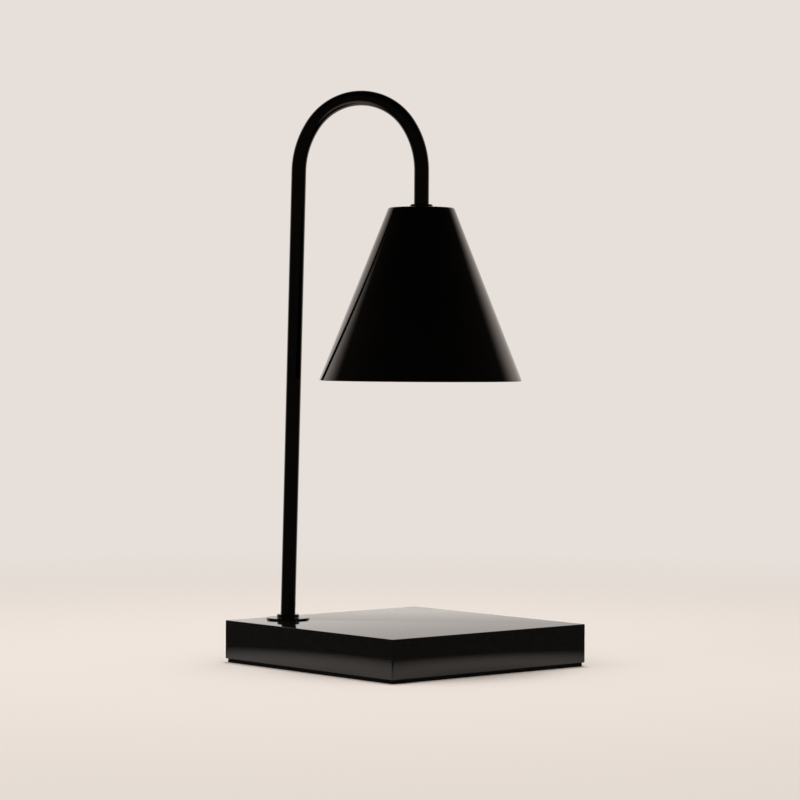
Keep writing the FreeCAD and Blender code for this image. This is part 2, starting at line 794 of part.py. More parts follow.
def make_holder_bracket():
    """The bent steel bracket: a plate on the tube, a leg and a floor for the lampholder."""
    body = new_body("holder_bracket")
    strip = sketch_on(body, "XZ_Plane")
    add_outline(strip, [
        ("-bracket_tail", "shade_ceiling"),
        ("bracket_leg + bracket_thickness", "shade_ceiling"),
        ("bracket_leg + bracket_thickness", "holder_top"),
        ("-bracket_tail", "holder_top"),
        ("-bracket_tail", "bracket_floor_top"),
        ("bracket_leg", "bracket_floor_top"),
        ("bracket_leg", "bracket_plate_under"),
        ("-bracket_tail", "bracket_plate_under")])
    pad(body, strip, "bracket_width", Midplane=True)
    leg_inner, leg_outer = value("bracket_leg"), value("bracket_leg + bracket_thickness")

    def bend_edge(at_x):
        def wanted(edge):
            across = abs(edge.BoundBox.YLength - edge.Length) < TOUCH
            return across and abs(edge.BoundBox.XMin - at_x) < TOUCH
        return wanted
    round_edges(body, "bracket_bend", bend_edge(leg_inner))
    round_edges(body, "bracket_bend + bracket_thickness", bend_edge(leg_outer))

    floor = sketch_on(body, "XY_Plane", ("0", "0", "holder_top"))
    add_obround(floor, "bracket_floor_length / 2", "bracket_floor_width / 2", "y")
    pad(body, floor, "bracket_thickness")
    hole = sketch_on(body, "XY_Plane", ("0", "0", "bracket_plate_under"))
    add_circle(hole, "0", "0", "tube_radius + fit_clearance")
    cut(body, hole, "bracket_thickness", Reversed=True)
    slot = sketch_on(body, "XY_Plane", ("0", "0", "holder_top"))
    add_obround(slot, "pin_offset + lead_slot_width / 2", "lead_slot_width / 2")
    cut(body, slot, "bracket_thickness", Reversed=True)
    screws = sketch_on(body, "XY_Plane", ("0", "0", "holder_top"))
    for side in ("", "-"):
        add_circle(screws, "0", f"{side}screw_offset", "screw_diameter / 2 + fit_clearance")
    cut(body, screws, "bracket_thickness", Reversed=True)
    return on_head(body)


def make_head_clamp():
    """Collar over the shade, and the bracket, washer, nut and ferrule under its top."""
    fitted = "tube_radius + fit_clearance"
    on_head(ring("shade_collar", fitted, "collar_diameter / 2", "shade_top",
                 "shade_top + shade_collar_height", "shade_collar_round"))
    make_holder_bracket()
    on_head(ring("head_washer", fitted, "washer_diameter / 2", "head_washer_under",
                 "bracket_plate_under"))
    on_head(hexagon_nut("head_nut", "head_nut_under"))
    on_head(make_ferrule("head_ferrule", "tube_head_end", "+", "-"))


# ---------------------------------------------------------------------------------------------
# GU10 lampholder
# ---------------------------------------------------------------------------------------------

def make_holder_cap():
    """The holder's ceramic back, with holes for the leads and the screws."""
    body = ring("holder_cap", "0", "holder_diameter / 2", "holder_cap_under", "holder_top")
    round_edges(body, "holder_round", circle_at("holder_top", "holder_diameter / 2"))
    holes = sketch_on(body, "XY_Plane", ("0", "0", "holder_cap_under"))
    for side in ("", "-"):
        add_circle(holes, f"{side}pin_offset", "0", "lead_diameter / 2 + fit_clearance")
        add_circle(holes, "0", f"{side}screw_offset", "screw_diameter / 2 + fit_clearance")
    cut(body, holes, "holder_cap_height", Reversed=True)
    return on_head(body)


def make_holder_body():
    """The holder's ceramic front: two contact chambers over two keyhole slots.

    A pin enters at the wide end of its slot and locks at the narrow end, lock_turn further.
    """
    body = ring("holder_body", "0", "holder_diameter / 2", "holder_face", "holder_cap_under")
    round_edges(body, "holder_round", circle_at("holder_face", "holder_diameter / 2"))
    chambers = sketch_on(body, "XY_Plane", ("0", "0", "holder_cap_under"))
    for side in ("", "-"):
        add_circle(chambers, f"{side}pin_offset", "0", "chamber_diameter / 2")
    cut(body, chambers, "holder_height - holder_lip")
    threads = sketch_on(body, "XY_Plane", ("0", "0", "holder_cap_under"))
    for side in ("", "-"):
        add_circle(threads, "0", f"{side}screw_offset", "screw_diameter / 2 + fit_clearance")
    cut(body, threads, "screw_length - bracket_thickness - holder_cap_height + fit_clearance")

    outer, inner = "(pin_offset + slot_width / 2)", "(pin_offset - slot_width / 2)"
    slot = sketch_on(body, "XY_Plane", ("0", "0", "holder_face"))
    add_outline(slot, [
        (f"{outer} * cos(lock_turn)", f"-{outer} * sin(lock_turn)", f"-{outer}"),
        (outer, "0", "-half"),
        (inner, "0", inner),
        (f"{inner} * cos(lock_turn)", f"-{inner} * sin(lock_turn)")])
    narrow = cut(body, slot, "holder_lip", Reversed=True)
    entry = sketch_on(body, "XY_Plane", ("0", "0", "holder_face"))
    add_circle(entry, "pin_offset * cos(lock_turn)", "-pin_offset * sin(lock_turn)",
               "entry_diameter / 2")
    wide = cut(body, entry, "holder_lip", Reversed=True)
    repeat_round(body, [narrow, wide], 2)
    return on_head(body)


def make_holder_screws():
    """Two pan-head screws, through the bracket's floor and the cap into the body."""
    screws = []
    for number, side in enumerate(("", "-"), start=1):
        head, shank = "screw_head_diameter / 2", "screw_diameter / 2"
        top = "bracket_floor_top + screw_head_height"
        body = turned(f"holder_screw_{number}", [
            ("0", "bracket_floor_top - screw_length"),
            (shank, "bracket_floor_top - screw_length"),
            (shank, "bracket_floor_top"), (head, "bracket_floor_top"),
            (head, f"{top} - screw_head_round", "-screw_head_round"),
            (f"{head} - screw_head_round", top), ("0", top)])
        place(body, f"head_x + {side}screw_offset * sin(arm_turn)",
              f"head_y - {side}screw_offset * cos(arm_turn)")
        screws.append(body)
    return group("holder_screws", screws)


def make_holder_contacts():
    """Two bent bronze strips, each between its lead and the head of its pin."""
    contacts = []
    for number, spin in enumerate(("0 deg", "180 deg"), start=1):
        body = new_body(f"holder_contact_{number}")
        strip = sketch_on(body, "XZ_Plane", ("pin_offset", "0", "0"))
        back = "contact_reach"
        add_outline(strip, [
            ("-contact_tip", "holder_cap_under"), (back, "holder_cap_under"),
            (back, "contact_under"), ("-contact_tip", "contact_under"),
            ("-contact_tip", "contact_under + contact_strip"),
            (f"{back} - contact_strip", "contact_under + contact_strip"),
            (f"{back} - contact_strip", "holder_cap_under - contact_strip"),
            ("-contact_tip", "holder_cap_under - contact_strip")])
        pad(body, strip, "contact_width", Midplane=True)
        place(body, "head_x", "head_y", f"arm_turn + {spin}")
        contacts.append(body)
    return group("holder_contacts", contacts)


# ---------------------------------------------------------------------------------------------
# GU10 bulb
# ---------------------------------------------------------------------------------------------

def make_bulb_base():
    """The bulb's ceramic base: an oblong block between the pins and the round neck."""
    body = new_body("bulb_base")
    block = sketch_on(body, "XY_Plane", ("0", "0", "bulb_neck_top"))
    add_obround(block, "bulb_base_length / 2", "bulb_base_width / 2")
    pad(body, block, "bulb_base_height")
    round_edges(body, "bulb_base_round", level_at("bulb_top"))
    neck = sketch_on(body, "XY_Plane", ("0", "0", "bulb_neck_under"))
    add_circle(neck, "0", "0", "bulb_neck_diameter / 2")
    pad(body, neck, "bulb_neck_height")
    socket = sketch_on(body, "XY_Plane", ("0", "0", "bulb_neck_under"))
    add_circle(socket, "0", "0", "capsule_diameter / 2 + seat_clearance")
    cut(body, socket, "pinch_length", Reversed=True)
    return on_head(body)


def make_bulb_pins():
    """The two mushroom-headed pins that lock in the holder's slots."""
    pins = []
    for number, side in enumerate(("", "-"), start=1):
        head, neck = "pin_head_diameter / 2", "pin_neck_diameter / 2"
        body = turned(f"bulb_pin_{number}", [
            ("0", "bulb_top"), (neck, "bulb_top"), (neck, "pin_head_under"),
            (head, "pin_head_under"), (head, "pin_top - pin_head_round", "-pin_head_round"),
            (f"{head} - pin_head_round", "pin_top"), ("0", "pin_top")])
        place(body, f"head_x + {side}pin_offset * cos(arm_turn)",
              f"head_y + {side}pin_offset * sin(arm_turn)")
        pins.append(body)
    return group("bulb_pins", pins)


def make_bulb_glass():
    """Reflector and front lens, both turned about the bulb's axis."""
    rim, neck = "bulb_diameter / 2", "bulb_neck_diameter / 2"
    mouth = f"{rim} - bulb_wall"
    ledge = f"{mouth} - lens_seat"
    on_head(turned("bulb_reflector", [
        ("capsule_diameter / 2 + seat_clearance", "bulb_neck_under"),
        (neck, "bulb_neck_under", "bulb_bowl_radius"),
        (f"{rim} - bulb_rim_step", "bulb_step"),
        (rim, "bulb_step - bulb_rim_step"), (rim, "bulb_front"), (mouth, "bulb_front"),
        (mouth, "lens_back"), (ledge, "lens_back"),
        (ledge, "bulb_step", "-(bulb_bowl_radius - bulb_wall)"),
        (f"{neck} - bulb_wall", "bulb_neck_under - bulb_wall"),
        ("capsule_diameter / 2 + seat_clearance", "bulb_neck_under - bulb_wall")]))
    on_head(turned("bulb_lens", [
        ("0", "bulb_front + fit_clearance", "-lens_radius"),
        ("lens_edge", "bulb_front + fit_clearance + lens_dome"), ("lens_edge", "lens_back"),
        ("0", "lens_back")]))


def make_bulb_capsule():
    """The quartz capsule: a hollow tube with a round tip, and a flat pinch that seals it."""
    tube = "(capsule_diameter / 2)"
    bore = "(capsule_diameter / 2 - capsule_wall)"
    body = turned("bulb_capsule", [
        ("0", "bulb_neck_under"), (tube, "bulb_neck_under"),
        (tube, f"capsule_tip + {tube}", tube), ("0", "capsule_tip")])
    pinch = sketch_on(body, "XY_Plane", ("0", "0", "bulb_neck_under"))
    add_rectangle(pinch, f"{tube} - seat_clearance", "pinch_thickness / 2")
    pad(body, pinch, "pinch_length")
    hollow = sketch_on(body, "XZ_Plane")
    add_outline(hollow, [
        ("0", "capsule_ceiling"), (bore, "capsule_ceiling"),
        (bore, f"capsule_tip + {tube}", bore), ("0", "capsule_tip + capsule_wall")])
    turn(body, hollow, kind="Groove")
    seals = sketch_on(body, "XY_Plane", ("0", "0", "capsule_ceiling"))
    for side in ("", "-"):
        add_circle(seals, f"{side}leg_offset", "0", "filament_leg / 2 + fit_clearance")
    cut(body, seals, "filament_seal + fit_clearance", Reversed=True)
    return on_head(body)


def make_bulb_filament():
    """The tungsten coil across the capsule, as one plain bar, and its two upright legs."""
    body = new_body("bulb_filament")
    coil = sketch_on(body, "YZ_Plane", ("0", "coil_level", "0"))
    add_circle(coil, "0", "0", "coil_diameter / 2")
    pad(body, coil, "coil_length", Midplane=True)
    legs = sketch_on(body, "XY_Plane", ("0", "0", "coil_level"))
    for side in ("", "-"):
        add_circle(legs, f"{side}leg_offset", "0", "filament_leg / 2")
    pad(body, legs, "coil_drop + filament_seal")
    return on_head(body)


# ---------------------------------------------------------------------------------------------
# The lamp
# ---------------------------------------------------------------------------------------------

NODES = [
    "base_slab", "base_pad", "cord_gland", "foot_flange", "foot_bush", "lead_tails",
    "lead_splices", "foot_collar", "foot_washer", "foot_spring_washer", "foot_nut",
    "foot_ferrule", "arm_tube", "lamp_leads", "shade_collar", "shade", "holder_bracket",
    "head_washer", "head_nut", "head_ferrule", "holder_cap", "holder_body", "holder_screws",
    "holder_contacts", "bulb_base", "bulb_pins", "bulb_reflector", "bulb_lens", "bulb_capsule",
    "bulb_filament",
]


def make_lamp():
    """Build every piece."""
    make_base_slab()
    make_base_pad()
    make_cord_gland()
    make_foot()
    make_arm_tube()
    make_lamp_leads()
    make_lead_tails()
    make_shade()
    make_head_clamp()
    make_holder_cap()
    make_holder_body()
    make_holder_screws()
    make_holder_contacts()
    make_bulb_base()
    make_bulb_pins()
    make_bulb_glass()
    make_bulb_capsule()
    make_bulb_filament()
    doc.recompute()


def check_lamp():
    """Stop if any object failed or any node's shape is missing or invalid."""
    for item in doc.Objects:
        if "Invalid" in item.State or "Error" in item.State:
            raise RuntimeError(f"{item.Name} failed: {item.State}")
    for name in NODES:
        shape = doc.getObjectsByLabel(name)[0].Shape
        if shape.isNull() or not shape.isValid() or shape.Volume <= 0:
            raise RuntimeError(f"{name} has no valid shape")


def write_parts():
    """Write each node's shape to parts/NODE.step."""
    os.makedirs("parts", exist_ok=True)
    for name in NODES:
        doc.getObjectsByLabel(name)[0].Shape.exportStep(f"parts/{name}.step")


make_lamp()
check_lamp()
write_parts()
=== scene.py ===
"""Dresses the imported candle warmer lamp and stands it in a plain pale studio.

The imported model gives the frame, the bodies and the hidden pieces.  The pieces that a viewer
sees most are modelled again here, finer and in the same sizes, and stand for their nodes.
Lengths are in millimetres up to the point where a mesh is made.
"""

from __future__ import annotations

import json
import logging
import math
from collections.abc import Callable, Iterator, Sequence
from contextlib import contextmanager
from dataclasses import dataclass
from enum import Enum
from itertools import pairwise

import bmesh
import bpy
from mathutils import Matrix, Quaternion, Vector

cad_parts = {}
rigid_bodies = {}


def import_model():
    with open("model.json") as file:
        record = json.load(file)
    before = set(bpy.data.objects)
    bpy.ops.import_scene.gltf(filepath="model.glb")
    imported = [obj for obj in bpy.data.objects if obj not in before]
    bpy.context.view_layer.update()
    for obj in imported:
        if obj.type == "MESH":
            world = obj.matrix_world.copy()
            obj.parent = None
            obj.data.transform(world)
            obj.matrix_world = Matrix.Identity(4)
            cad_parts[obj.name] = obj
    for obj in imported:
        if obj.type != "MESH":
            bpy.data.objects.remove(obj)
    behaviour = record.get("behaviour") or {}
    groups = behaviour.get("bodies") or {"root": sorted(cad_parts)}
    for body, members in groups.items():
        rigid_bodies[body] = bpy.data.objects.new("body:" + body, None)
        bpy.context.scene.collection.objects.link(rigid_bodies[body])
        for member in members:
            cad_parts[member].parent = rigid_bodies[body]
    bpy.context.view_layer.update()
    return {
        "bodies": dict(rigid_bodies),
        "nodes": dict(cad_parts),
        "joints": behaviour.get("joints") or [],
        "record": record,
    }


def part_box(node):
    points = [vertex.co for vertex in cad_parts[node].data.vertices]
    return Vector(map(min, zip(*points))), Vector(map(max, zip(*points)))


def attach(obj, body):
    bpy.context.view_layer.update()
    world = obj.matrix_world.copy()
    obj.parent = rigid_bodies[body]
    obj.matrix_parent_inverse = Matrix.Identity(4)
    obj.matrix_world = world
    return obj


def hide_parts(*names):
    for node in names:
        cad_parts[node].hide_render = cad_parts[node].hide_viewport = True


LOG = logging.getLogger("candle_warmer_lamp")
MM = 0.001
TOUCH = 1e-6  # metres; points this close are one point
SMOOTH_ANGLE = math.radians(32)
BROKEN_EDGE = 0.05  # radius of an edge that is only freed of its burr
OVERSHOOT = 1.0  # how far a cutter starts outside the piece
RING_STEPS = 128  # steps in a full turn of a small ring
CORNER_CHORDS = 8  # chords in a block's upright corners
ARRIS_CHORDS = 6  # chords in its level edges
WAVE_SCALE = 0.3  # a wave texture's scale for about one band to the unit
UP = Vector((0.0, 0.0, 1.0))
REAR = Vector((0.0, 1.0, 0.0))

Point = tuple[float, float]
Place = Point | Vector
Triple = tuple[float, float, float]
Corner = Triple
Colour = Triple
Piece = bpy.types.Object
Finish = bpy.types.Material
Socket = bpy.types.NodeSocket
Feed = float | Sequence[float] | Socket
Edge = bmesh.types.BMEdge
Face = bmesh.types.BMFace


class Body(Enum):
    """The lamp's three moving bodies."""

    BASE = "base"
    ARM = "arm"
    BULB = "bulb"


class Cells(Enum):
    """What can be picked in edit mode."""

    EDGES = "EDGE"
    FACES = "FACE"


class Join(Enum):
    """What a second object does to the first."""

    CARVE = "DIFFERENCE"
    WELD = "UNION"


# ---- Modelling by operator ----

def lift(level: float) -> Vector:
    """A step straight up by so many millimetres, in metres."""
    return UP * (level * MM)


def activate(piece: Piece) -> None:
    """Make one object the only selected and the active one.

    Args:
        piece: The object.
    """
    bpy.ops.object.select_all(action="DESELECT")
    piece.select_set(True)
    bpy.context.view_layer.objects.active = piece


@contextmanager
def editing(piece: Piece) -> Iterator[None]:
    """Keep an object in edit mode, with all of it selected at the start.

    Args:
        piece: The object.

    Yields:
        Nothing; the mode lasts as long as the block.
    """
    activate(piece)
    bpy.ops.object.mode_set(mode="EDIT")
    bpy.ops.mesh.select_mode(type="VERT")
    bpy.ops.mesh.select_all(action="SELECT")
    try:
        yield
    finally:
        bpy.ops.object.mode_set(mode="OBJECT")


def freeze(piece: Piece) -> None:
    """Put an object's place and turn into its mesh, which leaves it at the origin."""
    activate(piece)
    bpy.ops.object.transform_apply(location=True, rotation=True, scale=True)


def newest(name: str) -> Piece:
    """Name the primitive that was just added, and freeze it.

    Args:
        name: The piece's name.

    Returns:
        The object, which sits at the origin.
    """
    piece = bpy.context.object
    piece.name = piece.data.name = name
    freeze(piece)
    return piece


def pick(piece: Piece, cells: Cells, wanted: Callable[[Edge | Face], bool]) -> None:
    """Select the edges or faces that pass a test, in edit mode.

    Args:
        piece: The object in edit mode.
        cells: What is picked.
        wanted: The test.
    """
    bpy.ops.mesh.select_mode(type=cells.value)
    mesh = bmesh.from_edit_mesh(piece.data)
    for cell in mesh.edges if cells is Cells.EDGES else mesh.faces:
        cell.select_set(wanted(cell))
    bmesh.update_edit_mesh(piece.data)


def climb(edge: Edge) -> float:
    """How far apart in height an edge's two ends lie."""
    return abs(edge.verts[0].co.z - edge.verts[1].co.z)


def looks_inward(face: Face, axis: Vector) -> bool:
    """Whether a face looks toward an upright axis."""
    spoke = face.calc_center_median() - axis
    return face.normal.dot(spoke - UP * spoke.z) < 0.0


def mend(piece: Piece) -> None:
    """Merge doubled points and turn all faces outward.

    Args:
        piece: The piece.
    """
    with editing(piece):
        bpy.ops.mesh.remove_doubles(threshold=TOUCH)
        bpy.ops.mesh.normals_make_consistent(inside=False)


def smooth(piece: Piece, angle: float = SMOOTH_ANGLE) -> None:
    """Shade an object smooth, but for its edges sharper than an angle."""
    activate(piece)
    bpy.ops.object.shade_smooth_by_angle(angle=angle)


def settle(piece: Piece, name: str) -> None:
    """Apply the modifier of a name."""
    activate(piece)
    bpy.ops.object.modifier_apply(modifier=name)


def combine(piece: Piece, tool: Piece, how: Join) -> None:
    """Carve a second object out of the first or weld it on, and throw it away.

    Args:
        piece: The object that stays.
        tool: The second object.
        how: What it does to the first.
    """
    step = piece.modifiers.new("combine", "BOOLEAN")
    step.operation = how.value
    step.solver = "EXACT"
    step.object = tool
    settle(piece, "combine")
    bpy.data.objects.remove(tool)


def lay(piece: Piece, turn: Quaternion, spot: Vector) -> None:
    """Turn a piece about the origin, carry it to its place and freeze it.

    Args:
        piece: The piece.
        turn: Its turn.
        spot: Its place, in metres.
    """
    piece.rotation_mode = "QUATERNION"
    piece.rotation_quaternion = turn
    piece.location = spot
    freeze(piece)


def gather(piece: Piece, others: Sequence[Piece]) -> None:
    """Gather other objects into the first as loose shells of its mesh.

    Args:
        piece: The object that stays.
        others: The objects that go into it.
    """
    activate(piece)
    for other in others:
        other.select_set(True)
    bpy.ops.object.join()


def extrude(way: Vector) -> None:
    """Extrude what is selected in edit mode, along a way in metres."""
    bpy.ops.mesh.extrude_region_move(TRANSFORM_OT_translate={"value": way})


def arc(centre: Place, first: Place, last: Place, steps: int) -> list[Point]:
    """Points along the shorter arc between two points about a centre.

    Args:
        centre: The arc's centre.
        first: Its first point.
        last: Its last point.
        steps: The number of chords.

    Returns:
        The points, with both ends.
    """
    middle = Vector(centre)
    start, finish = Vector(first) - middle, Vector(last) - middle
    way, end = start.normalized(), finish.normalized()
    return [tuple(middle + way.slerp(end, step / steps) * start.length)
            for step in range(steps + 1)]


def bulge(low: Point, high: Point, radius: float, steps: int) -> list[Point]:
    """Points along an arc that bulges away from the axis.

    Args:
        low: The arc's lower end.
        high: Its upper end.
        radius: Its radius.
        steps: The number of chords.

    Returns:
        The points from low to high.
    """
    start, finish = Vector(low), Vector(high)
    half = (finish - start) / 2
    inward = Vector((-half.y, half.x)).normalized()
    centre = start + half + inward * math.sqrt(radius ** 2 - half.length_squared)
    return arc(centre, low, high, steps)


def rounded(corners: Sequence[Corner], steps: int = 6) -> list[Point]:
    """Round the corners of an open or closed outline.

    Args:
        corners: Places and radii; a radius of nought keeps a corner sharp.
        steps: The number of chords in each rounding.

    Returns:
        The outline's points.
    """
    points: list[Point] = []
    for i, (x, y, radius) in enumerate(corners):
        corner = Vector((x, y))
        if radius == 0.0:
            points.append((x, y))
            continue
        before = (Vector(corners[i - 1][:2]) - corner).normalized()
        after = (Vector(corners[(i + 1) % len(corners)][:2]) - corner).normalized()
        half = before.angle(after) / 2
        centre = corner + (before + after).normalized() * (radius / math.sin(half))
        first = corner + before * (radius / math.tan(half))
        last = corner + after * (radius / math.tan(half))
        points += arc(centre, first, last, steps)
    return points


def lathe(name: str, axis: Vector, section: Sequence[Point], steps: int,
          closed: bool = True) -> Piece:
    """Spin a half-section about an upright axis.

    Args:
        name: The piece's name.
        axis: A point on the axis, in metres.
        section: Radii and levels in millimetres, in order.
        steps: The number of steps in the full turn.
        closed: Whether the section's end is joined to its start.

    Returns:
        The turned piece.
    """
    points = [Vector((axis.x + r * MM, axis.y, z * MM)) for r, z in section]
    if closed:
        points.append(points[0])
    bpy.ops.mesh.primitive_plane_add(size=MM, location=points[0])
    piece = newest(name)
    with editing(piece):
        bpy.ops.mesh.merge(type="CENTER")
        for here, there in pairwise(points):
            extrude(there - here)
        bpy.ops.mesh.select_all(action="SELECT")
        bpy.ops.mesh.remove_doubles(threshold=TOUCH)
        bpy.ops.mesh.spin(steps=steps, angle=math.tau, center=(axis.x, axis.y, 0.0), axis=UP)
    mend(piece)
    smooth(piece)
    return piece


def rod(name: str, radius: float, start: Vector, finish: Vector, sides: int = 96) -> Piece:
    """A round bar between two points, used as a cutter or a start.

    Args:
        name: The piece's name.
        radius: Its radius in millimetres.
        start: One end, in metres.
        finish: The other end, in metres.
        sides: The number of its sides.

    Returns:
        The bar.
    """
    run = finish - start
    turn = UP.rotation_difference(run).to_euler()
    bpy.ops.mesh.primitive_cylinder_add(vertices=sides, radius=radius * MM, depth=run.length,
                                        location=(start + finish) / 2, rotation=turn)
    return newest(name)


def block(name: str, size: Point, levels: Point, corner: float, arris: float) -> Piece:
    """An upright block about the origin's axis, with rounded edges.

    Args:
        name: The piece's name.
        size: Its length and its width.
        levels: The levels of its underside and its top.
        corner: The radius of its upright corners.
        arris: The radius of its level edges.

    Returns:
        The block.
    """
    under, top = (level * MM for level in levels)
    bpy.ops.mesh.primitive_cube_add(size=1.0, location=(0.0, 0.0, (under + top) / 2),
                                    scale=(size[0] * MM, size[1] * MM, top - under))
    piece = newest(name)
    with editing(piece):
        pick(piece, Cells.EDGES, lambda edge: climb(edge) > (top - under) / 2)
        bpy.ops.mesh.bevel(offset=corner * MM, segments=CORNER_CHORDS, affect="EDGES")
        pick(piece, Cells.EDGES, lambda edge: climb(edge) < TOUCH)
        bpy.ops.mesh.bevel(offset=arris * MM, segments=ARRIS_CHORDS, affect="EDGES")
    return piece


# ---- Finishes ----

@dataclass(frozen=True)
class Fade:
    """A smooth step: where it starts and ends along a value, and the results on both sides."""

    start: float
    finish: float
    before: float = 0.0
    after: float = 1.0


class Graph:
    """A shader's node tree, to which wired nodes are added one at a time."""

    def __init__(self, tree: bpy.types.NodeTree) -> None:
        """Take up a tree."""
        self.tree = tree

    def wire(self, node: bpy.types.Node, inputs: dict[int | str, Feed]) -> None:
        """Set a node's sockets to values, or link other nodes' outputs to them.

        Args:
            node: The node.
            inputs: What goes into each socket.
        """
        for name, feed in inputs.items():
            socket = node.inputs[name]
            if isinstance(feed, Socket):
                self.tree.links.new(feed, socket)
            else:
                socket.default_value = (*feed, 1.0) if socket.type == "RGBA" else feed

    def add(self, kind: str, inputs: dict[int | str, Feed] | None = None,
            **options: str) -> bpy.types.NodeOutputs:
        """Add a node.

        Args:
            kind: Its type, without the words that every shader node's type starts with.
            inputs: The values and outputs that go into its sockets.
            options: Its own settings.

        Returns:
            Its outputs.
        """
        node = self.tree.nodes.new("ShaderNode" + kind)
        for name, choice in options.items():
            setattr(node, name, choice)
        self.wire(node, inputs or {})
        return node.outputs

    def reckon(self, operation: str, first: Feed, second: Feed) -> Socket:
        """Multiply two values, take the greater, and the like."""
        return self.add("Math", {0: first, 1: second}, operation=operation)["Value"]

    def span(self, source: Socket, low: float, high: float, start: float = 0.3,
             finish: float = 0.7, easing: str = "LINEAR") -> Socket:
        """Map a value onto a range.

        Args:
            source: The value.
            low: The result at start.
            high: The result at finish.
            start: Where the range starts.
            finish: Where it ends.
            easing: How the result runs between them.

        Returns:
            The mapped value.
        """
        inputs = {"Value": source, "From Min": start, "From Max": finish, "To Min": low,
                  "To Max": high}
        return self.add("MapRange", inputs, interpolation_type=easing)["Result"]

    def fade(self, source: Socket, fade: Fade) -> Socket:
        """Put a value through a smooth step."""
        return self.span(source, fade.before, fade.after, fade.start, fade.finish, "SMOOTHSTEP")


class Recipe(Graph):
    """The nodes of one material, round its principled shader."""

    def __init__(self, name: str) -> None:
        """Start a material with a principled shader.

        Args:
            name: The material's name.
        """
        self.material = bpy.data.materials.new(name)
        self.material.use_nodes = True
        super().__init__(self.material.node_tree)
        self.shader = self.tree.nodes["Principled BSDF"]
        self.place = self.add("TexCoord")["Object"]

    def set(self, **inputs: Feed) -> None:
        """Wire up the shader's own sockets; an underscore stands for a space."""
        self.wire(self.shader, {name.replace("_", " "): feed for name, feed in inputs.items()})

    def noise(self, size: float, detail: float = 2.0,
              stretch: Triple = (1.0, 1.0, 1.0)) -> Socket:
        """Cloudy noise.

        Args:
            size: The size of its clouds in millimetres.
            detail: The number of finer layers.
            stretch: How far each axis is drawn out.

        Returns:
            A value around one half.
        """
        shrink = tuple(1.0 / s for s in stretch)
        drawn = self.add("Mapping", {"Vector": self.place, "Scale": shrink})["Vector"]
        return self.add("TexNoise", {"Vector": drawn, "Scale": 1.0 / (size * MM),
                                     "Detail": detail})["Fac"]

    def cells(self, size: float) -> Socket:
        """Round cells of a size in millimetres, as a distance from their middles."""
        grid = self.add("TexVoronoi", {"Vector": self.place, "Scale": 1.0 / (size * MM)})
        return grid["Distance"]

    def blend(self, source: Socket, first: Colour, second: Colour) -> Socket:
        """Blend two colours by a value from nought to one."""
        inputs = {"Factor": source, "A": first, "B": second}
        return self.add("Mix", inputs, data_type="RGBA")["Result"]

    def drift(self, size: float, first: Colour, second: Colour,
              detail: float = 3.0) -> Socket:
        """Drift between two colours in clouds of a size."""
        return self.blend(self.span(self.noise(size, detail), 0.0, 1.0), first, second)

    def relief(self, source: Socket, depth: float, strength: float = 1.0) -> None:
        """Raise the surface by a value.

        Args:
            source: The height, from nought to one.
            depth: The height of one in millimetres.
            strength: How much of it shows.
        """
        inputs = {"Height": source, "Distance": depth * MM, "Strength": strength}
        self.set(Normal=self.add("Bump", inputs)["Normal"])


def lighter(colour: Colour, times: float) -> Colour:
    """The same colour, so many times as light."""
    return tuple(part * times for part in colour)


@dataclass(frozen=True)
class Mixture:
    """What the finishes share: a name, and nodes that each adds in its own way.

    A size is in millimetres, across what the comment beside it names.
    """

    name: str

    def mix(self, recipe: Recipe) -> None:
        """Add the finish's nodes to a material."""
        raise NotImplementedError

    def make(self) -> Finish:
        """Make the material.

        Returns:
            The material with its nodes.
        """
        recipe = Recipe(self.name)
        self.mix(recipe)
        return recipe.material


@dataclass(frozen=True)
class BlackNickel(Mixture):
    """Polished plating with a faint haze, over spun or drawn metal."""

    grain: Triple = (1.0, 1.0, 1.0)  # how far the polishing lines are drawn out
    tint: Colour = (0.052, 0.045, 0.040)
    haze: float = 0.04  # lowest roughness
    spread: float = 0.05  # how much rougher it gets
    line: float = 0.35  # a polishing line
    wave: float = 6.0  # a ripple left by the polishing
    cloud: float = 14.0  # a change of tint

    def mix(self, recipe: Recipe) -> None:
        """Add the plating's nodes.

        Args:
            recipe: The material.
        """
        lines = recipe.noise(self.line, stretch=self.grain)
        recipe.set(Metallic=1.0,
                   Base_Color=recipe.drift(self.cloud, self.tint, lighter(self.tint, 1.25)),
                   Roughness=recipe.span(lines, self.haze, self.haze + self.spread))
        waves = recipe.noise(self.wave, detail=1.0, stretch=self.grain)
        recipe.relief(waves, depth=0.003, strength=0.3)


@dataclass(frozen=True)
class PolishedStone(Mixture):
    """Black stone with fine dark crystals under a polished face."""

    name: str = "black_granite"
    ground: Colour = (0.0030, 0.0027, 0.0025)
    crystal: Colour = (0.0085, 0.0078, 0.0070)
    grain: float = 0.9  # a crystal
    polish: float = 9.0  # a change of polish
    wave: float = 22.0  # a ripple left by the polishing

    def mix(self, recipe: Recipe) -> None:
        """Add the stone's nodes.

        Args:
            recipe: The material.
        """
        crystals = recipe.span(recipe.cells(self.grain), 0.0, 1.0, start=0.15, finish=0.6)
        recipe.set(IOR=1.52, Base_Color=recipe.blend(crystals, self.crystal, self.ground),
                   Roughness=recipe.span(recipe.noise(self.polish, detail=4.0), 0.035, 0.075))
        recipe.relief(recipe.noise(self.wave, detail=1.0), depth=0.004, strength=0.5)


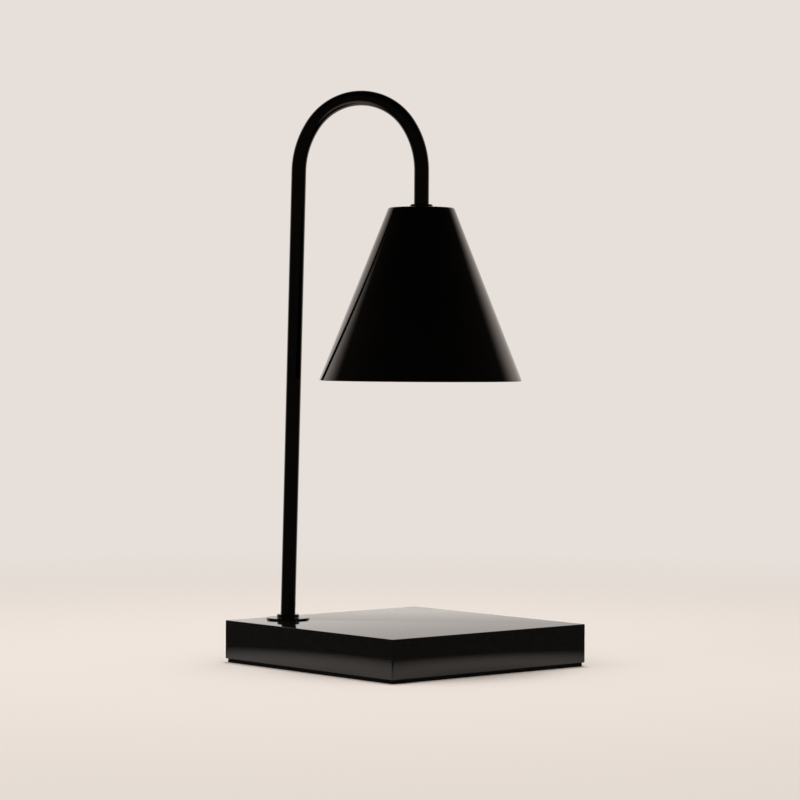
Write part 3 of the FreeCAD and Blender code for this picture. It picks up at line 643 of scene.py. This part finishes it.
@dataclass(frozen=True)
class Matte(Mixture):
    """A dull moulded or foamed plastic or rubber."""

    colour: Colour
    pore: float
    depth: float  # of a pore
    roughness: float = 0.7
    spread: float = 0.1  # how far the roughness strays to both sides
    gloss: float = 0.5
    wear: float = 2.0  # a change of roughness
    cloud: float = 6.0  # a change of shade

    def mix(self, recipe: Recipe) -> None:
        """Add the plastic's nodes.

        Args:
            recipe: The material.
        """
        pale = lighter(self.colour, 1.5)
        recipe.set(Specular_IOR_Level=self.gloss,
                   Base_Color=recipe.drift(self.cloud, self.colour, pale),
                   Roughness=recipe.span(recipe.noise(self.wear), self.roughness - self.spread,
                                         self.roughness + self.spread))
        recipe.relief(recipe.cells(self.pore), self.depth, strength=0.6)


@dataclass(frozen=True)
class BareMetal(Mixture):
    """Zinc, bronze, nickel or tungsten, drawn or pressed."""

    colour: Colour
    shadow: Colour  # the colour where it has dulled
    roughness: float  # the lowest
    spread: float = 0.16  # how much rougher it gets
    grain: Triple = (1.0, 6.0, 1.0)
    line: float = 0.25  # a drawing line
    cloud: float = 3.5  # a dull patch

    def mix(self, recipe: Recipe) -> None:
        """Add the metal's nodes.

        Args:
            recipe: The material.
        """
        lines = recipe.noise(self.line, stretch=self.grain)
        recipe.set(Metallic=1.0,
                   Base_Color=recipe.drift(self.cloud, self.colour, self.shadow, detail=4.0),
                   Roughness=recipe.span(lines, self.roughness, self.roughness + self.spread))
        recipe.relief(lines, depth=0.006, strength=0.5)


@dataclass(frozen=True)
class GlazedCeramic(Mixture):
    """Steatite with a thin glaze and a few firing specks."""

    name: str = "glazed_steatite"
    body: Colour = (0.80, 0.77, 0.70)
    speck: Colour = (0.60, 0.54, 0.44)
    speck_gap: float = 1.8  # from one speck to the next
    glaze: float = 1.2  # a change of glaze
    grain: float = 0.6  # a grain under it

    def mix(self, recipe: Recipe) -> None:
        """Add the ceramic's nodes.

        Args:
            recipe: The material.
        """
        specks = recipe.span(recipe.cells(self.speck_gap), 0.0, 1.0, start=0.03, finish=0.09)
        glaze = recipe.noise(self.glaze, detail=3.0)
        recipe.set(Base_Color=recipe.blend(specks, self.speck, self.body),
                   Roughness=recipe.span(glaze, 0.16, 0.32))
        recipe.relief(recipe.noise(self.grain, detail=3.0), depth=0.02, strength=0.5)


@dataclass(frozen=True)
class BraidedSleeve(Mixture):
    """Glass-fibre sleeve of a lamp lead, woven in a fine diamond."""

    name: str = "glass_braid"
    light: Colour = (0.74, 0.72, 0.66)
    dark: Colour = (0.46, 0.43, 0.37)
    pitch: float = 0.5  # from one strand to the next
    slant: float = 45.0  # degrees
    depth: float = 0.08  # of the weave

    def mix(self, recipe: Recipe) -> None:
        """Add the braid's nodes.

        Args:
            recipe: The material.
        """
        strands = []
        for slant in (self.slant, -self.slant):
            turn = (0.0, math.radians(slant), 0.0)
            across = recipe.add("Mapping", {"Vector": recipe.place, "Rotation": turn})["Vector"]
            wave = {"Vector": across, "Scale": WAVE_SCALE / (self.pitch * MM)}
            strands.append(recipe.add("TexWave", wave, bands_direction="X")["Fac"])
        weave = recipe.reckon("MULTIPLY", *strands)
        recipe.set(Base_Color=recipe.blend(weave, self.dark, self.light), Roughness=0.6)
        recipe.relief(weave, self.depth)


@dataclass(frozen=True)
class MirrorCoat(Mixture):
    """Bright aluminium coat on the glass of the reflector."""

    name: str = "aluminium_coat"
    colour: Colour = (0.83, 0.83, 0.82)
    thin: Colour = (0.72, 0.73, 0.75)  # the colour where the film is thin
    film: float = 7.0  # a change of thickness
    haze: float = 0.8  # a change of haze

    def mix(self, recipe: Recipe) -> None:
        """Add the coat's nodes.

        Args:
            recipe: The material.
        """
        recipe.set(Metallic=1.0, Base_Color=recipe.drift(self.film, self.colour, self.thin),
                   Roughness=recipe.span(recipe.noise(self.haze), 0.05, 0.12))


@dataclass(frozen=True)
class ClearGlass(Mixture):
    """Clear glass of the front lens and the capsule."""

    name: str = "clear_quartz"
    colour: Colour = (0.96, 0.97, 0.97)
    haze: float = 5.0  # a change of haze
    wave: float = 9.0  # a ripple

    def mix(self, recipe: Recipe) -> None:
        """Add the glass's nodes.

        Args:
            recipe: The material.
        """
        recipe.set(Base_Color=self.colour, Transmission_Weight=1.0, IOR=1.47,
                   Roughness=recipe.span(recipe.noise(self.haze, detail=3.0), 0.0, 0.03))
        recipe.relief(recipe.noise(self.wave, detail=1.0), depth=0.01, strength=0.2)


class Palette:
    """Every finish of the lamp, made once."""

    def __init__(self) -> None:
        """Make the materials."""
        self.spun = BlackNickel("black_nickel_spun", (40.0, 40.0, 1.0)).make()
        self.drawn = BlackNickel("black_nickel_drawn", (1.0, 1.0, 30.0)).make()
        self.inside = BlackNickel("black_nickel_inside", (40.0, 40.0, 1.0), haze=0.24).make()
        self.stone = PolishedStone().make()
        # painted shade: the foam's colour is set darker than its own black, and its gloss lowered,
        # to stand in for the shadow beside the pad under the slab's edge
        self.foam = Matte("cellular_foam_painted_shade", (0.004, 0.004, 0.004), pore=0.5, depth=0.08,
                          roughness=0.85, gloss=0.1).make()
        self.rubber = Matte("soft_rubber", (0.020, 0.020, 0.020), pore=0.3, depth=0.01,
                            roughness=0.6).make()
        self.nylon = Matte("moulded_nylon", (0.022, 0.022, 0.023), pore=0.2, depth=0.006,
                           roughness=0.45).make()
        self.cap = Matte("crimp_cap", (0.62, 0.62, 0.58), pore=0.4, depth=0.005,
                         roughness=0.3).make()
        self.zinc = BareMetal("zinc_plate", (0.64, 0.64, 0.62), shadow=(0.50, 0.51, 0.52),
                              roughness=0.24).make()
        self.bronze = BareMetal("spring_bronze", (0.72, 0.48, 0.27), shadow=(0.55, 0.34, 0.19),
                                roughness=0.22).make()
        self.pin = BareMetal("nickel_plate", (0.70, 0.68, 0.64), shadow=(0.60, 0.58, 0.54),
                             roughness=0.12).make()
        self.tungsten = BareMetal("drawn_tungsten", (0.42, 0.41, 0.40),
                                  shadow=(0.34, 0.33, 0.33), roughness=0.30).make()
        self.ceramic = GlazedCeramic().make()
        self.sleeve = BraidedSleeve().make()
        self.mirror = MirrorCoat().make()
        self.glass = ClearGlass().make()


# ---- Sub-assemblies ----

def axis_of(node: str) -> Vector:
    """The upright axis through the middle of a round node, as its point at level nought."""
    low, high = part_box(node)
    return Vector(((low.x + high.x) / 2, (low.y + high.y) / 2, 0.0))


@dataclass
class Assembly:
    """What the sub-assemblies share: the frame, the finishes and two upright axes."""

    frame: dict
    palette: Palette

    def __post_init__(self) -> None:
        """Find the axes of the pole and the shade, and the way from one to the other."""
        self.pole, self.head = axis_of("foot_collar"), axis_of("shade_collar")
        self.outward = (self.head - self.pole).normalized()

    def dress(self, finish: Finish, *names: str) -> None:
        """Give carried-over nodes their finish.

        Args:
            finish: The material.
            names: The nodes.
        """
        for name in names:
            mesh = self.frame["nodes"][name].data
            mesh.materials.clear()
            mesh.materials.append(finish)
            LOG.info("dressed %s in %s", name, finish.name)

    def stand_in(self, piece: Piece, body: Body, finish: Finish, slot: str,
                 *names: str) -> None:
        """Let a modelled piece stand for nodes of the frame.

        Args:
            piece: The new piece.
            body: The body that it rides on.
            finish: Its material, unless it has its materials already.
            slot: The record's material slot; not used.
            names: The nodes that it stands for.
        """
        if not piece.data.materials:
            piece.data.materials.append(finish)
        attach(piece, body.value)
        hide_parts(*names)
        LOG.info("modelled %s: %d faces", piece.name, len(piece.data.polygons))


@dataclass(frozen=True)
class BaseSizes:
    """Sizes of the stone base and what sits in it."""

    side: float = 136.0
    under: float = 2.0
    top: float = 22.5
    corner: float = 0.9
    arris: float = 0.5
    pad_inset: float = 1.0
    pad_arris: float = 0.3
    pocket_radius: float = 24.0
    pocket_wall: float = 4.0
    pocket_roof: float = 15.5
    pole_hole: float = 5.63
    outlet_right: float = 11.5  # from the pole's axis
    outlet_level: float = 8.5
    outlet_radius: float = 4.05
    outlet_depth: float = 14.0
    seat_radius: float = 6.05
    seat_depth: float = 1.8
    grommet_bore: float = 2.75
    grommet_radius: float = 4.0
    grommet_lip_radius: float = 6.0
    grommet_length: float = 7.0
    grommet_round: float = 0.7
    grommet_steps: int = 96  # in its full turn


@dataclass
class Base(Assembly):
    """Stone slab, foam pad and the grommet of the cord outlet."""

    sizes: BaseSizes = BaseSizes()

    @property
    def outlet(self) -> Vector:
        """The middle of the cord outlet's mouth, in the slab's rear side."""
        s = self.sizes
        return Vector((self.pole.x + s.outlet_right * MM, s.side / 2 * MM, s.outlet_level * MM))

    def make_slab(self) -> None:
        """Model the slab with its pocket, pole hole and cord outlet."""
        s = self.sizes
        piece = block("stone_slab", (s.side, s.side), (s.under, s.top), s.corner, s.arris)
        middle = (s.pocket_wall + s.pocket_radius - s.side / 2) * MM
        pocket, below = Vector((middle, -middle, 0.0)), lift(s.under - OVERSHOOT)
        outside = self.outlet + REAR * (OVERSHOOT * MM)
        for radius, start, finish in (
                (s.pocket_radius, pocket + below, pocket + lift(s.pocket_roof)),
                (s.pole_hole, self.pole + below, self.pole + lift(s.top + OVERSHOOT)),
                (s.outlet_radius, outside, self.outlet - REAR * (s.outlet_depth * MM)),
                (s.seat_radius, outside, self.outlet - REAR * (s.seat_depth * MM))):
            combine(piece, rod("cutter", radius, start, finish), Join.CARVE)
        smooth(piece)
        self.stand_in(piece, Body.BASE, self.palette.stone, "polished_stone", "base_slab")

    def make_pad(self) -> None:
        """Model the foam pad with its slightly crushed edges."""
        s = self.sizes
        side = s.side - 2 * s.pad_inset
        piece = block("foam_pad", (side, side), (0.0, s.under), s.corner, s.pad_arris)
        smooth(piece)
        self.stand_in(piece, Body.BASE, self.palette.foam, "pad_foam", "base_pad")

    def mould_grommet(self) -> None:
        """Model the soft rubber grommet, whose lip lies flush with the rear side."""
        s = self.sizes
        section = rounded([
            (s.grommet_bore, 0.0, s.grommet_round), (s.grommet_lip_radius, 0.0, s.pad_arris),
            (s.grommet_lip_radius, s.seat_depth, BROKEN_EDGE),
            (s.grommet_radius, s.seat_depth, s.pad_arris),
            (s.grommet_radius, s.grommet_length, s.grommet_round),
            (s.grommet_bore, s.grommet_length, s.pad_arris)])
        piece = lathe("outlet_grommet", Vector(), section, s.grommet_steps)
        lay(piece, UP.rotation_difference(-REAR), self.outlet)
        self.stand_in(piece, Body.BASE, self.palette.rubber, "black_rubber", "cord_gland")

    def build(self) -> None:
        """Make the base."""
        self.make_slab()
        self.make_pad()
        self.mould_grommet()
        self.dress(self.palette.nylon, "foot_bush")
        self.dress(self.palette.sleeve, "lead_tails")
        self.dress(self.palette.cap, "lead_splices")


@dataclass(frozen=True)
class Ring:
    """A ring with a rounded upper edge and its other edges just broken."""

    bore: float  # its radius
    radius: float
    under: float
    top: float
    edge: float  # the rounding's radius

    def turn(self, name: str, axis: Vector) -> Piece:
        """Turn it about an upright axis.

        Args:
            name: The piece's name.
            axis: A point on the axis.

        Returns:
            The ring.
        """
        section = rounded([(self.bore, self.under, BROKEN_EDGE),
                           (self.radius, self.under, BROKEN_EDGE),
                           (self.radius, self.top, self.edge), (self.bore, self.top, BROKEN_EDGE)])
        return lathe(name, axis, section, RING_STEPS)


@dataclass
class Foot(Assembly):
    """Flange, collar and the friction swivel under the slab."""

    flange: Ring = Ring(bore=4.08, radius=11.6, under=22.5, top=23.2, edge=0.25)
    collar: Ring = Ring(bore=4.05, radius=6.05, under=23.3, top=25.0, edge=0.5)

    def build(self) -> None:
        """Make the foot."""
        flange = self.flange.turn("pole_flange", self.pole)
        self.stand_in(flange, Body.BASE, self.palette.spun, "black_nickel", "foot_flange")
        collar = self.collar.turn("pole_collar", self.pole)
        self.stand_in(collar, Body.ARM, self.palette.spun, "black_nickel", "foot_collar")
        self.dress(self.palette.zinc, "foot_washer", "foot_spring_washer", "foot_nut")
        self.dress(self.palette.nylon, "foot_ferrule")


@dataclass(frozen=True)
class ArmSizes:
    """The bent tube, from its foot end to its head end."""

    radius: float = 4.0
    wall: float = 1.0
    sides: int = 96
    step_turn: float = 2.2  # degrees from ring to ring in a bend
    least_steps: int = 3  # in a bend
    foot_end: float = 8.1
    lean_start: float = 25.6
    lean_radius: float = 40.0
    lean: float = 1.2
    bend_start: float = 263.1
    shoulder_radius: float = 45.0
    shoulder_turn: float = 34.0
    crown_radius: float = 31.65
    head_end: float = 235.6


@dataclass
class Arm(Assembly):
    """Pole, crook and drop leg in one bent tube, with the leads inside."""

    sizes: ArmSizes = ArmSizes()

    def bend_tube(self) -> Piece:
        """Draw a ring of points along the arm's runs and bends.

        Returns:
            The hollow tube.
        """
        s = self.sizes
        axis = UP.cross(self.outward)
        point = self.pole + lift(s.foot_end)
        bpy.ops.mesh.primitive_circle_add(vertices=s.sides, radius=s.radius * MM, location=point)
        piece = newest("bent_tube")
        lean = math.radians(s.lean)
        lean_rise = s.lean_radius * math.sin(lean)
        pole_run = (s.bend_start - s.lean_start - lean_rise) / math.cos(lean)
        bends = [(s.lean_start - s.foot_end, s.lean_radius, s.lean),
                 (pole_run, s.shoulder_radius, s.shoulder_turn),
                 (0.0, s.crown_radius, 180.0 - s.lean - 2 * s.shoulder_turn),
                 (0.0, s.shoulder_radius, s.shoulder_turn)]
        heading = UP.copy()
        with editing(piece):
            for run, radius, turn in bends:
                if run:
                    way = heading * (run * MM)
                    extrude(way)
                    point = point + way
                inward = axis.cross(heading)
                centre = point + inward * (radius * MM)
                swing = Quaternion(axis, math.radians(turn))
                # the spin operator turns left-handed
                steps = max(s.least_steps, round(turn / s.step_turn))
                bpy.ops.mesh.spin(steps=steps, angle=math.radians(turn), center=centre,
                                  axis=-axis)
                point = centre + swing @ (point - centre)
                heading = swing @ heading
            extrude(heading * (point.z - s.head_end * MM))
        mend(piece)
        wall = piece.modifiers.new("wall", "SOLIDIFY")
        wall.thickness = s.wall * MM
        wall.offset = -1.0
        settle(piece, "wall")
        smooth(piece)
        return piece

    def build(self) -> None:
        """Make the arm."""
        tube = self.bend_tube()
        self.stand_in(tube, Body.ARM, self.palette.drawn, "black_nickel", "arm_tube")
        self.dress(self.palette.sleeve, "lamp_leads")


@dataclass(frozen=True)
class ShadeSizes:
    """Sizes of the spun shade."""

    bore: float = 4.05
    rim_radius: float = 54.0
    top_radius: float = 17.45
    rim_level: float = 151.0
    top_level: float = 242.9
    wall: float = 1.0
    shoulder: float = 1.4
    rim_round: float = 0.45
    steps: int = 384  # in its full turn
    edge_chords: int = 12  # in each rounding


@dataclass
class Shade(Assembly):
    """The conical shade and its collar."""

    sizes: ShadeSizes = ShadeSizes()
    collar: Ring = Ring(bore=4.05, radius=6.05, under=242.9, top=244.7, edge=0.7)

    def spin_shade(self) -> Piece:
        """Spin the cone, with a satin face inside.

        Returns:
            The shade.
        """
        s = self.sizes
        slope = Vector((s.rim_radius - s.top_radius, s.rim_level - s.top_level)).normalized()
        level_wall = s.wall / -slope.y
        ceiling = s.top_level - s.wall
        inner_rim = s.rim_radius - level_wall
        inner_top = s.top_radius - s.wall * slope.x / slope.y - level_wall
        section = rounded([
            (s.bore, s.top_level, 0.0), (s.top_radius, s.top_level, s.shoulder),
            (s.rim_radius, s.rim_level, s.rim_round), (inner_rim, s.rim_level, s.rim_round),
            (inner_top, ceiling, s.shoulder - s.wall), (s.bore, ceiling, 0.0)], s.edge_chords)
        piece = lathe("spun_shade", self.head, section, s.steps)
        piece.data.materials.append(self.palette.spun)
        piece.data.materials.append(self.palette.inside)
        with editing(piece):
            rim = (s.rim_level + s.rim_round) * MM
            pick(piece, Cells.FACES, lambda face: face.calc_center_median().z > rim and (
                face.normal.z < 0.0 or looks_inward(face, self.head)))
            piece.active_material_index = 1
            bpy.ops.object.material_slot_assign()
        return piece

    def build(self) -> None:
        """Make the shade."""
        self.stand_in(self.spin_shade(), Body.ARM, self.palette.spun, "black_nickel", "shade")
        collar = self.collar.turn("head_collar", self.head)
        self.stand_in(collar, Body.ARM, self.palette.spun, "black_nickel", "shade_collar")


@dataclass
class Holder(Assembly):
    """Bracket, clamp and the ceramic holder with its contacts and screws."""

    def build(self) -> None:
        """Dress the holder."""
        self.dress(self.palette.zinc, "holder_bracket", "head_washer", "head_nut",
                   "holder_screws")
        self.dress(self.palette.nylon, "head_ferrule")
        self.dress(self.palette.ceramic, "holder_cap", "holder_body")
        self.dress(self.palette.bronze, "holder_contacts")


@dataclass(frozen=True)
class BulbSizes:
    """Radii and levels of the bulb's glass and its filament."""

    rim: float = 25.0
    neck: float = 10.5
    hole: float = 4.8
    front: float = 165.1
    step: float = 170.7
    neck_under: float = 199.1
    wall: float = 1.4
    rim_step: float = 0.8
    ledge: float = 0.9
    bowl_radius: float = 42.0
    facets: int = 54
    rows: int = 9
    lens_edge: float = 23.55
    lens_front: float = 165.15
    lens_back: float = 167.45
    lens_dome: float = 0.8
    lens_rows: int = 16
    capsule: float = 4.5
    capsule_wall: float = 0.8
    capsule_tip: float = 182.1
    capsule_ceiling: float = 197.1
    capsule_shoulder: float = 1.2
    pinch: Point = (8.4, 3.4)  # length and width
    pinch_top: float = 207.1
    pinch_round: float = 0.6
    coil: float = 0.6  # outer radius
    coil_wire: float = 0.2
    coil_length: float = 5.0
    coil_level: float = 188.1
    coil_turns: int = 15
    leg: float = 0.25
    leg_offset: float = 2.0
    leg_top: float = 202.1
    seal: float = 0.3
    lens_steps: int = 96  # in its full turn
    capsule_steps: int = 64
    dome_chords: int = 12
    shoulder_chords: int = 6
    seal_sides: int = 24
    leg_sides: int = 16
    coil_sides: int = 8
    coil_steps: int = 18  # in each of its turns
    coil_angle: float = 50.0  # sharpest edge that is shaded smooth


@dataclass
class Bulb(Assembly):
    """The halogen reflector bulb."""

    sizes: BulbSizes = BulbSizes()

    def blow_reflector(self) -> Piece:
        """Spin the reflector, smooth outside and faceted inside.

        Returns:
            The reflector.
        """
        s = self.sizes
        mouth = s.rim - s.wall
        inner_top = s.neck_under - s.wall
        outside = bulge((s.rim - s.rim_step, s.step), (s.neck, s.neck_under), s.bowl_radius,
                        s.rows)
        inside = bulge((mouth - s.ledge, s.step), (s.neck - s.wall, inner_top),
                       s.bowl_radius - s.wall, s.rows)
        section = [(s.hole, s.neck_under), *reversed(outside),
                   (s.rim, s.step - s.rim_step), (s.rim, s.front), (mouth, s.front),
                   (mouth, s.lens_back), (mouth - s.ledge, s.lens_back), *inside,
                   (s.hole, inner_top)]
        piece = lathe("faceted_reflector", self.head, section, s.facets)
        with editing(piece):
            pick(piece, Cells.FACES, lambda face: (
                face.calc_center_median().z > s.step * MM and looks_inward(face, self.head)))
            bpy.ops.mesh.faces_shade_flat()
        return piece

    def press_lens(self) -> Piece:
        """Turn the clear front lens, flat behind and slightly domed in front.

        Returns:
            The lens.
        """
        s = self.sizes
        radius = (s.lens_dome + s.lens_edge ** 2 / s.lens_dome) / 2
        face = bulge((0.0, s.lens_front), (s.lens_edge, s.lens_front + s.lens_dome), radius,
                     s.lens_rows)
        section = [*face, (s.lens_edge, s.lens_back - BROKEN_EDGE),
                   (s.lens_edge - BROKEN_EDGE, s.lens_back), (0.0, s.lens_back)]
        return lathe("front_lens", self.head, section, s.lens_steps, closed=False)

    def blow_capsule(self) -> Piece:
        """Turn the hollow quartz capsule, weld its flat pinch on and drill the legs' seals.

        Returns:
            The capsule.
        """
        s = self.sizes
        bore, level = s.capsule - s.capsule_wall, s.capsule_tip + s.capsule
        flat, turn = s.capsule - s.capsule_shoulder, s.neck_under - s.capsule_shoulder
        dome = (0.0, level)
        outside = [*arc(dome, (0.0, s.capsule_tip), (s.capsule, level), s.dome_chords),
                   *arc((flat, turn), (s.capsule, turn), (flat, s.neck_under),
                        s.shoulder_chords), (0.0, s.neck_under)]
        inside = [*arc(dome, (0.0, level - bore), (bore, level), s.dome_chords),
                  (bore, s.capsule_ceiling), (0.0, s.capsule_ceiling)]
        piece = lathe("quartz_capsule", self.head, outside, s.capsule_steps, closed=False)
        pinch = block("pinch", s.pinch, (turn, s.pinch_top), s.pinch_round, s.pinch_round)
        lay(pinch, Vector((1.0, 0.0, 0.0)).rotation_difference(self.outward), self.head)
        combine(piece, pinch, Join.WELD)
        hollow = lathe("hollow", self.head, inside, s.capsule_steps, closed=False)
        combine(piece, hollow, Join.CARVE)
        for side in (-1.0, 1.0):
            foot = self.head + self.outward * (side * s.leg_offset * MM)
            start = foot + lift(s.capsule_ceiling - OVERSHOOT)
            finish = foot + lift(s.leg_top + BROKEN_EDGE)
            combine(piece, rod("seal", s.seal, start, finish, s.seal_sides), Join.CARVE)
        smooth(piece)
        return piece

    def wind_filament(self) -> Piece:
        """Wind the tungsten coil across the capsule and stand its two legs on it.

        Returns:
            The filament.
        """
        s = self.sizes
        wire, middle = s.coil_wire / 2, self.head + lift(s.coil_level)
        bpy.ops.mesh.primitive_circle_add(
            vertices=s.coil_sides, radius=wire * MM, rotation=(math.pi / 2, 0.0, 0.0),
            location=((s.coil - wire) * MM, 0.0, (wire - s.coil_length / 2) * MM))
        piece = newest("wound_filament")
        winding = piece.modifiers.new("winding", "SCREW")
        winding.iterations = s.coil_turns
        winding.screw_offset = (s.coil_length - 2 * wire) / s.coil_turns * MM
        winding.steps = winding.render_steps = s.coil_steps
        settle(piece, "winding")
        with editing(piece):
            bpy.ops.mesh.fill_holes(sides=0)
        mend(piece)
        lay(piece, UP.rotation_difference(self.outward), middle)
        feet = [middle + self.outward * (side * s.leg_offset * MM) for side in (-1.0, 1.0)]
        height = lift(s.leg_top - s.coil_level)
        gather(piece, [rod("leg", s.leg, foot, foot + height, s.leg_sides) for foot in feet])
        smooth(piece, math.radians(s.coil_angle))
        return piece

    def build(self) -> None:
        """Make the bulb."""
        colours = self.palette
        for piece, finish, slot, node in (
                (self.blow_reflector(), colours.mirror, "bulb_mirror", "bulb_reflector"),
                (self.press_lens(), colours.glass, "bulb_glass", "bulb_lens"),
                (self.blow_capsule(), colours.glass, "bulb_glass", "bulb_capsule"),
                (self.wind_filament(), colours.tungsten, "filament_wire", "bulb_filament")):
            self.stand_in(piece, Body.BULB, finish, slot, node)
        self.dress(colours.ceramic, "bulb_base")
        self.dress(colours.pin, "bulb_pins")


# ---- Studio ----

@dataclass(frozen=True)
class SoftLamp:
    """A square lamp that looks at the object and hides from gloss, in metres and watts."""

    name: str
    away: float  # beyond the object's middle, from the camera
    left: float
    up: float
    size: float
    watts: float
    aim: float = 0.12  # level that it looks at


@dataclass(frozen=True)
class Studio:
    """Pale floor and surroundings, soft light and the camera."""

    pale: Colour = (0.80, 0.745, 0.70)
    eye: Triple = (-1051.1, -1189.1, 170.17)  # millimetres
    heading: float = 41.365  # degrees from +Y toward +X
    dip: float = 1.0614  # degrees below the horizon
    roll: float = -0.2896
    lens: float = 134.315
    sensor: float = 36.0
    floor_half: float = 40.0  # metres
    fill: float = 0.62  # how far the surroundings light the object
    behind: Fade = Fade(0.36, 0.74, before=0.05)  # in gloss, toward what lies behind the lamp
    overhead: Fade = Fade(0.30, 0.75, before=1.0, after=0.25)  # in gloss, upward
    below: Fade = Fade(-0.90, -0.60, before=1.0, after=0.0)  # in gloss, from straight down
    floor_to_eye: Fade = Fade(0.18, 0.90)  # metres from the middle
    floor_to_gloss: Fade = Fade(0.085, 0.165)
    lamps: tuple[SoftLamp, ...] = (
        SoftLamp("top_light", away=0.1, left=0.0, up=1.2, size=0.35, watts=8.0),
        SoftLamp("side_light", away=-0.6, left=1.4, up=0.9, size=0.9, watts=4.0))

    @property
    def away(self) -> Vector:
        """The level direction from the camera to the lamp."""
        angle = math.radians(self.heading)
        return Vector((math.sin(angle), math.cos(angle), 0.0))

    def place_camera(self) -> None:
        """Add the camera."""
        dip = math.radians(self.dip)
        look = self.away * math.cos(dip) - UP * math.sin(dip)
        data = bpy.data.cameras.new("camera")
        data.lens, data.sensor_width = self.lens, self.sensor
        camera = bpy.data.objects.new("camera", data)
        bpy.context.scene.collection.objects.link(camera)
        facing = look.to_track_quat("-Z", "Y")
        turn = Quaternion(look, math.radians(self.roll)) @ facing
        spot = Vector(self.eye) * MM
        camera.matrix_world = Matrix.Translation(spot) @ turn.to_matrix().to_4x4()
        bpy.context.scene.camera = camera

    def make_world(self) -> None:
        """Pale to the eye; to gloss, pale behind and below the lamp and dim in front of it."""
        world = bpy.data.worlds.new("studio")
        world.use_nodes = True
        bpy.context.scene.world = world
        world.node_tree.nodes.clear()
        graph = Graph(world.node_tree)
        ray = graph.add("TexCoord")["Generated"]
        away = graph.add("VectorMath", {0: ray, 1: self.away}, operation="DOT_PRODUCT")["Value"]
        rise = graph.add("SeparateXYZ", {0: ray})["Z"]
        level = graph.reckon("MULTIPLY", graph.fade(away, self.behind),
                             graph.fade(rise, self.overhead))
        gloss = graph.reckon("MAXIMUM", level, graph.fade(rise, self.below))
        path = graph.add("LightPath")
        shown = graph.add("Mix", {"Factor": path["Is Glossy Ray"], "A": 1.0, "B": gloss})
        light = graph.add("Mix", {"Factor": path["Is Diffuse Ray"], "A": shown["Result"],
                                  "B": self.fill})
        back = graph.add("Background", {"Color": self.pale, "Strength": light["Result"]})
        graph.add("OutputWorld", {"Surface": back["Background"]})

    def lay_floor(self) -> None:
        """A pale floor that fades into the surroundings."""
        bpy.ops.mesh.primitive_plane_add(size=2 * self.floor_half)
        floor = newest("studio_floor")
        material = bpy.data.materials.new("studio_floor")
        material.use_nodes = True
        material.node_tree.nodes.clear()
        graph = Graph(material.node_tree)
        place = graph.add("TexCoord")["Object"]
        reach = graph.add("VectorMath", {0: place}, operation="LENGTH")["Value"]
        path = graph.add("LightPath")
        surface = graph.add("BsdfDiffuse", {"Color": self.pale})["BSDF"]
        glow = graph.add("Emission", {"Color": self.pale})["Emission"]
        clear = graph.add("BsdfTransparent")["BSDF"]
        for kind, fade, beyond in (("Is Camera Ray", self.floor_to_eye, glow),
                                   ("Is Glossy Ray", self.floor_to_gloss, clear)):
            share = graph.reckon("MULTIPLY", path[kind], graph.fade(reach, fade))
            surface = graph.add("MixShader", {0: share, 1: surface, 2: beyond})["Shader"]
        graph.add("OutputMaterial", {"Surface": surface})
        floor.data.materials.append(material)

    def hang(self, plan: SoftLamp) -> None:
        """Hang one lamp.

        Args:
            plan: Its name, place, size and power.
        """
        data = bpy.data.lights.new(plan.name, "AREA")
        data.size, data.energy = plan.size, plan.watts
        lamp = bpy.data.objects.new(plan.name, data)
        bpy.context.scene.collection.objects.link(lamp)
        left = UP.cross(self.away)
        lamp.location = self.away * plan.away + left * plan.left + UP * plan.up
        look = UP * plan.aim - lamp.location
        lamp.rotation_euler = look.to_track_quat("-Z", "Y").to_euler()
        lamp.visible_glossy = False

    def build(self) -> None:
        """Set up the studio."""
        self.place_camera()
        self.make_world()
        self.lay_floor()
        for plan in self.lamps:
            self.hang(plan)
        bpy.context.scene.view_settings.view_transform = "Standard"


def main() -> None:
    """Build the lamp and its studio."""
    logging.basicConfig(level=logging.INFO, format="%(name)s: %(message)s")
    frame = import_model()
    palette = Palette()
    for assembly in (Base, Foot, Arm, Shade, Holder, Bulb):
        LOG.info("building the %s", assembly.__name__.lower())
        assembly(frame, palette).build()
    Studio().build()


if __name__ == "__main__":
    main()
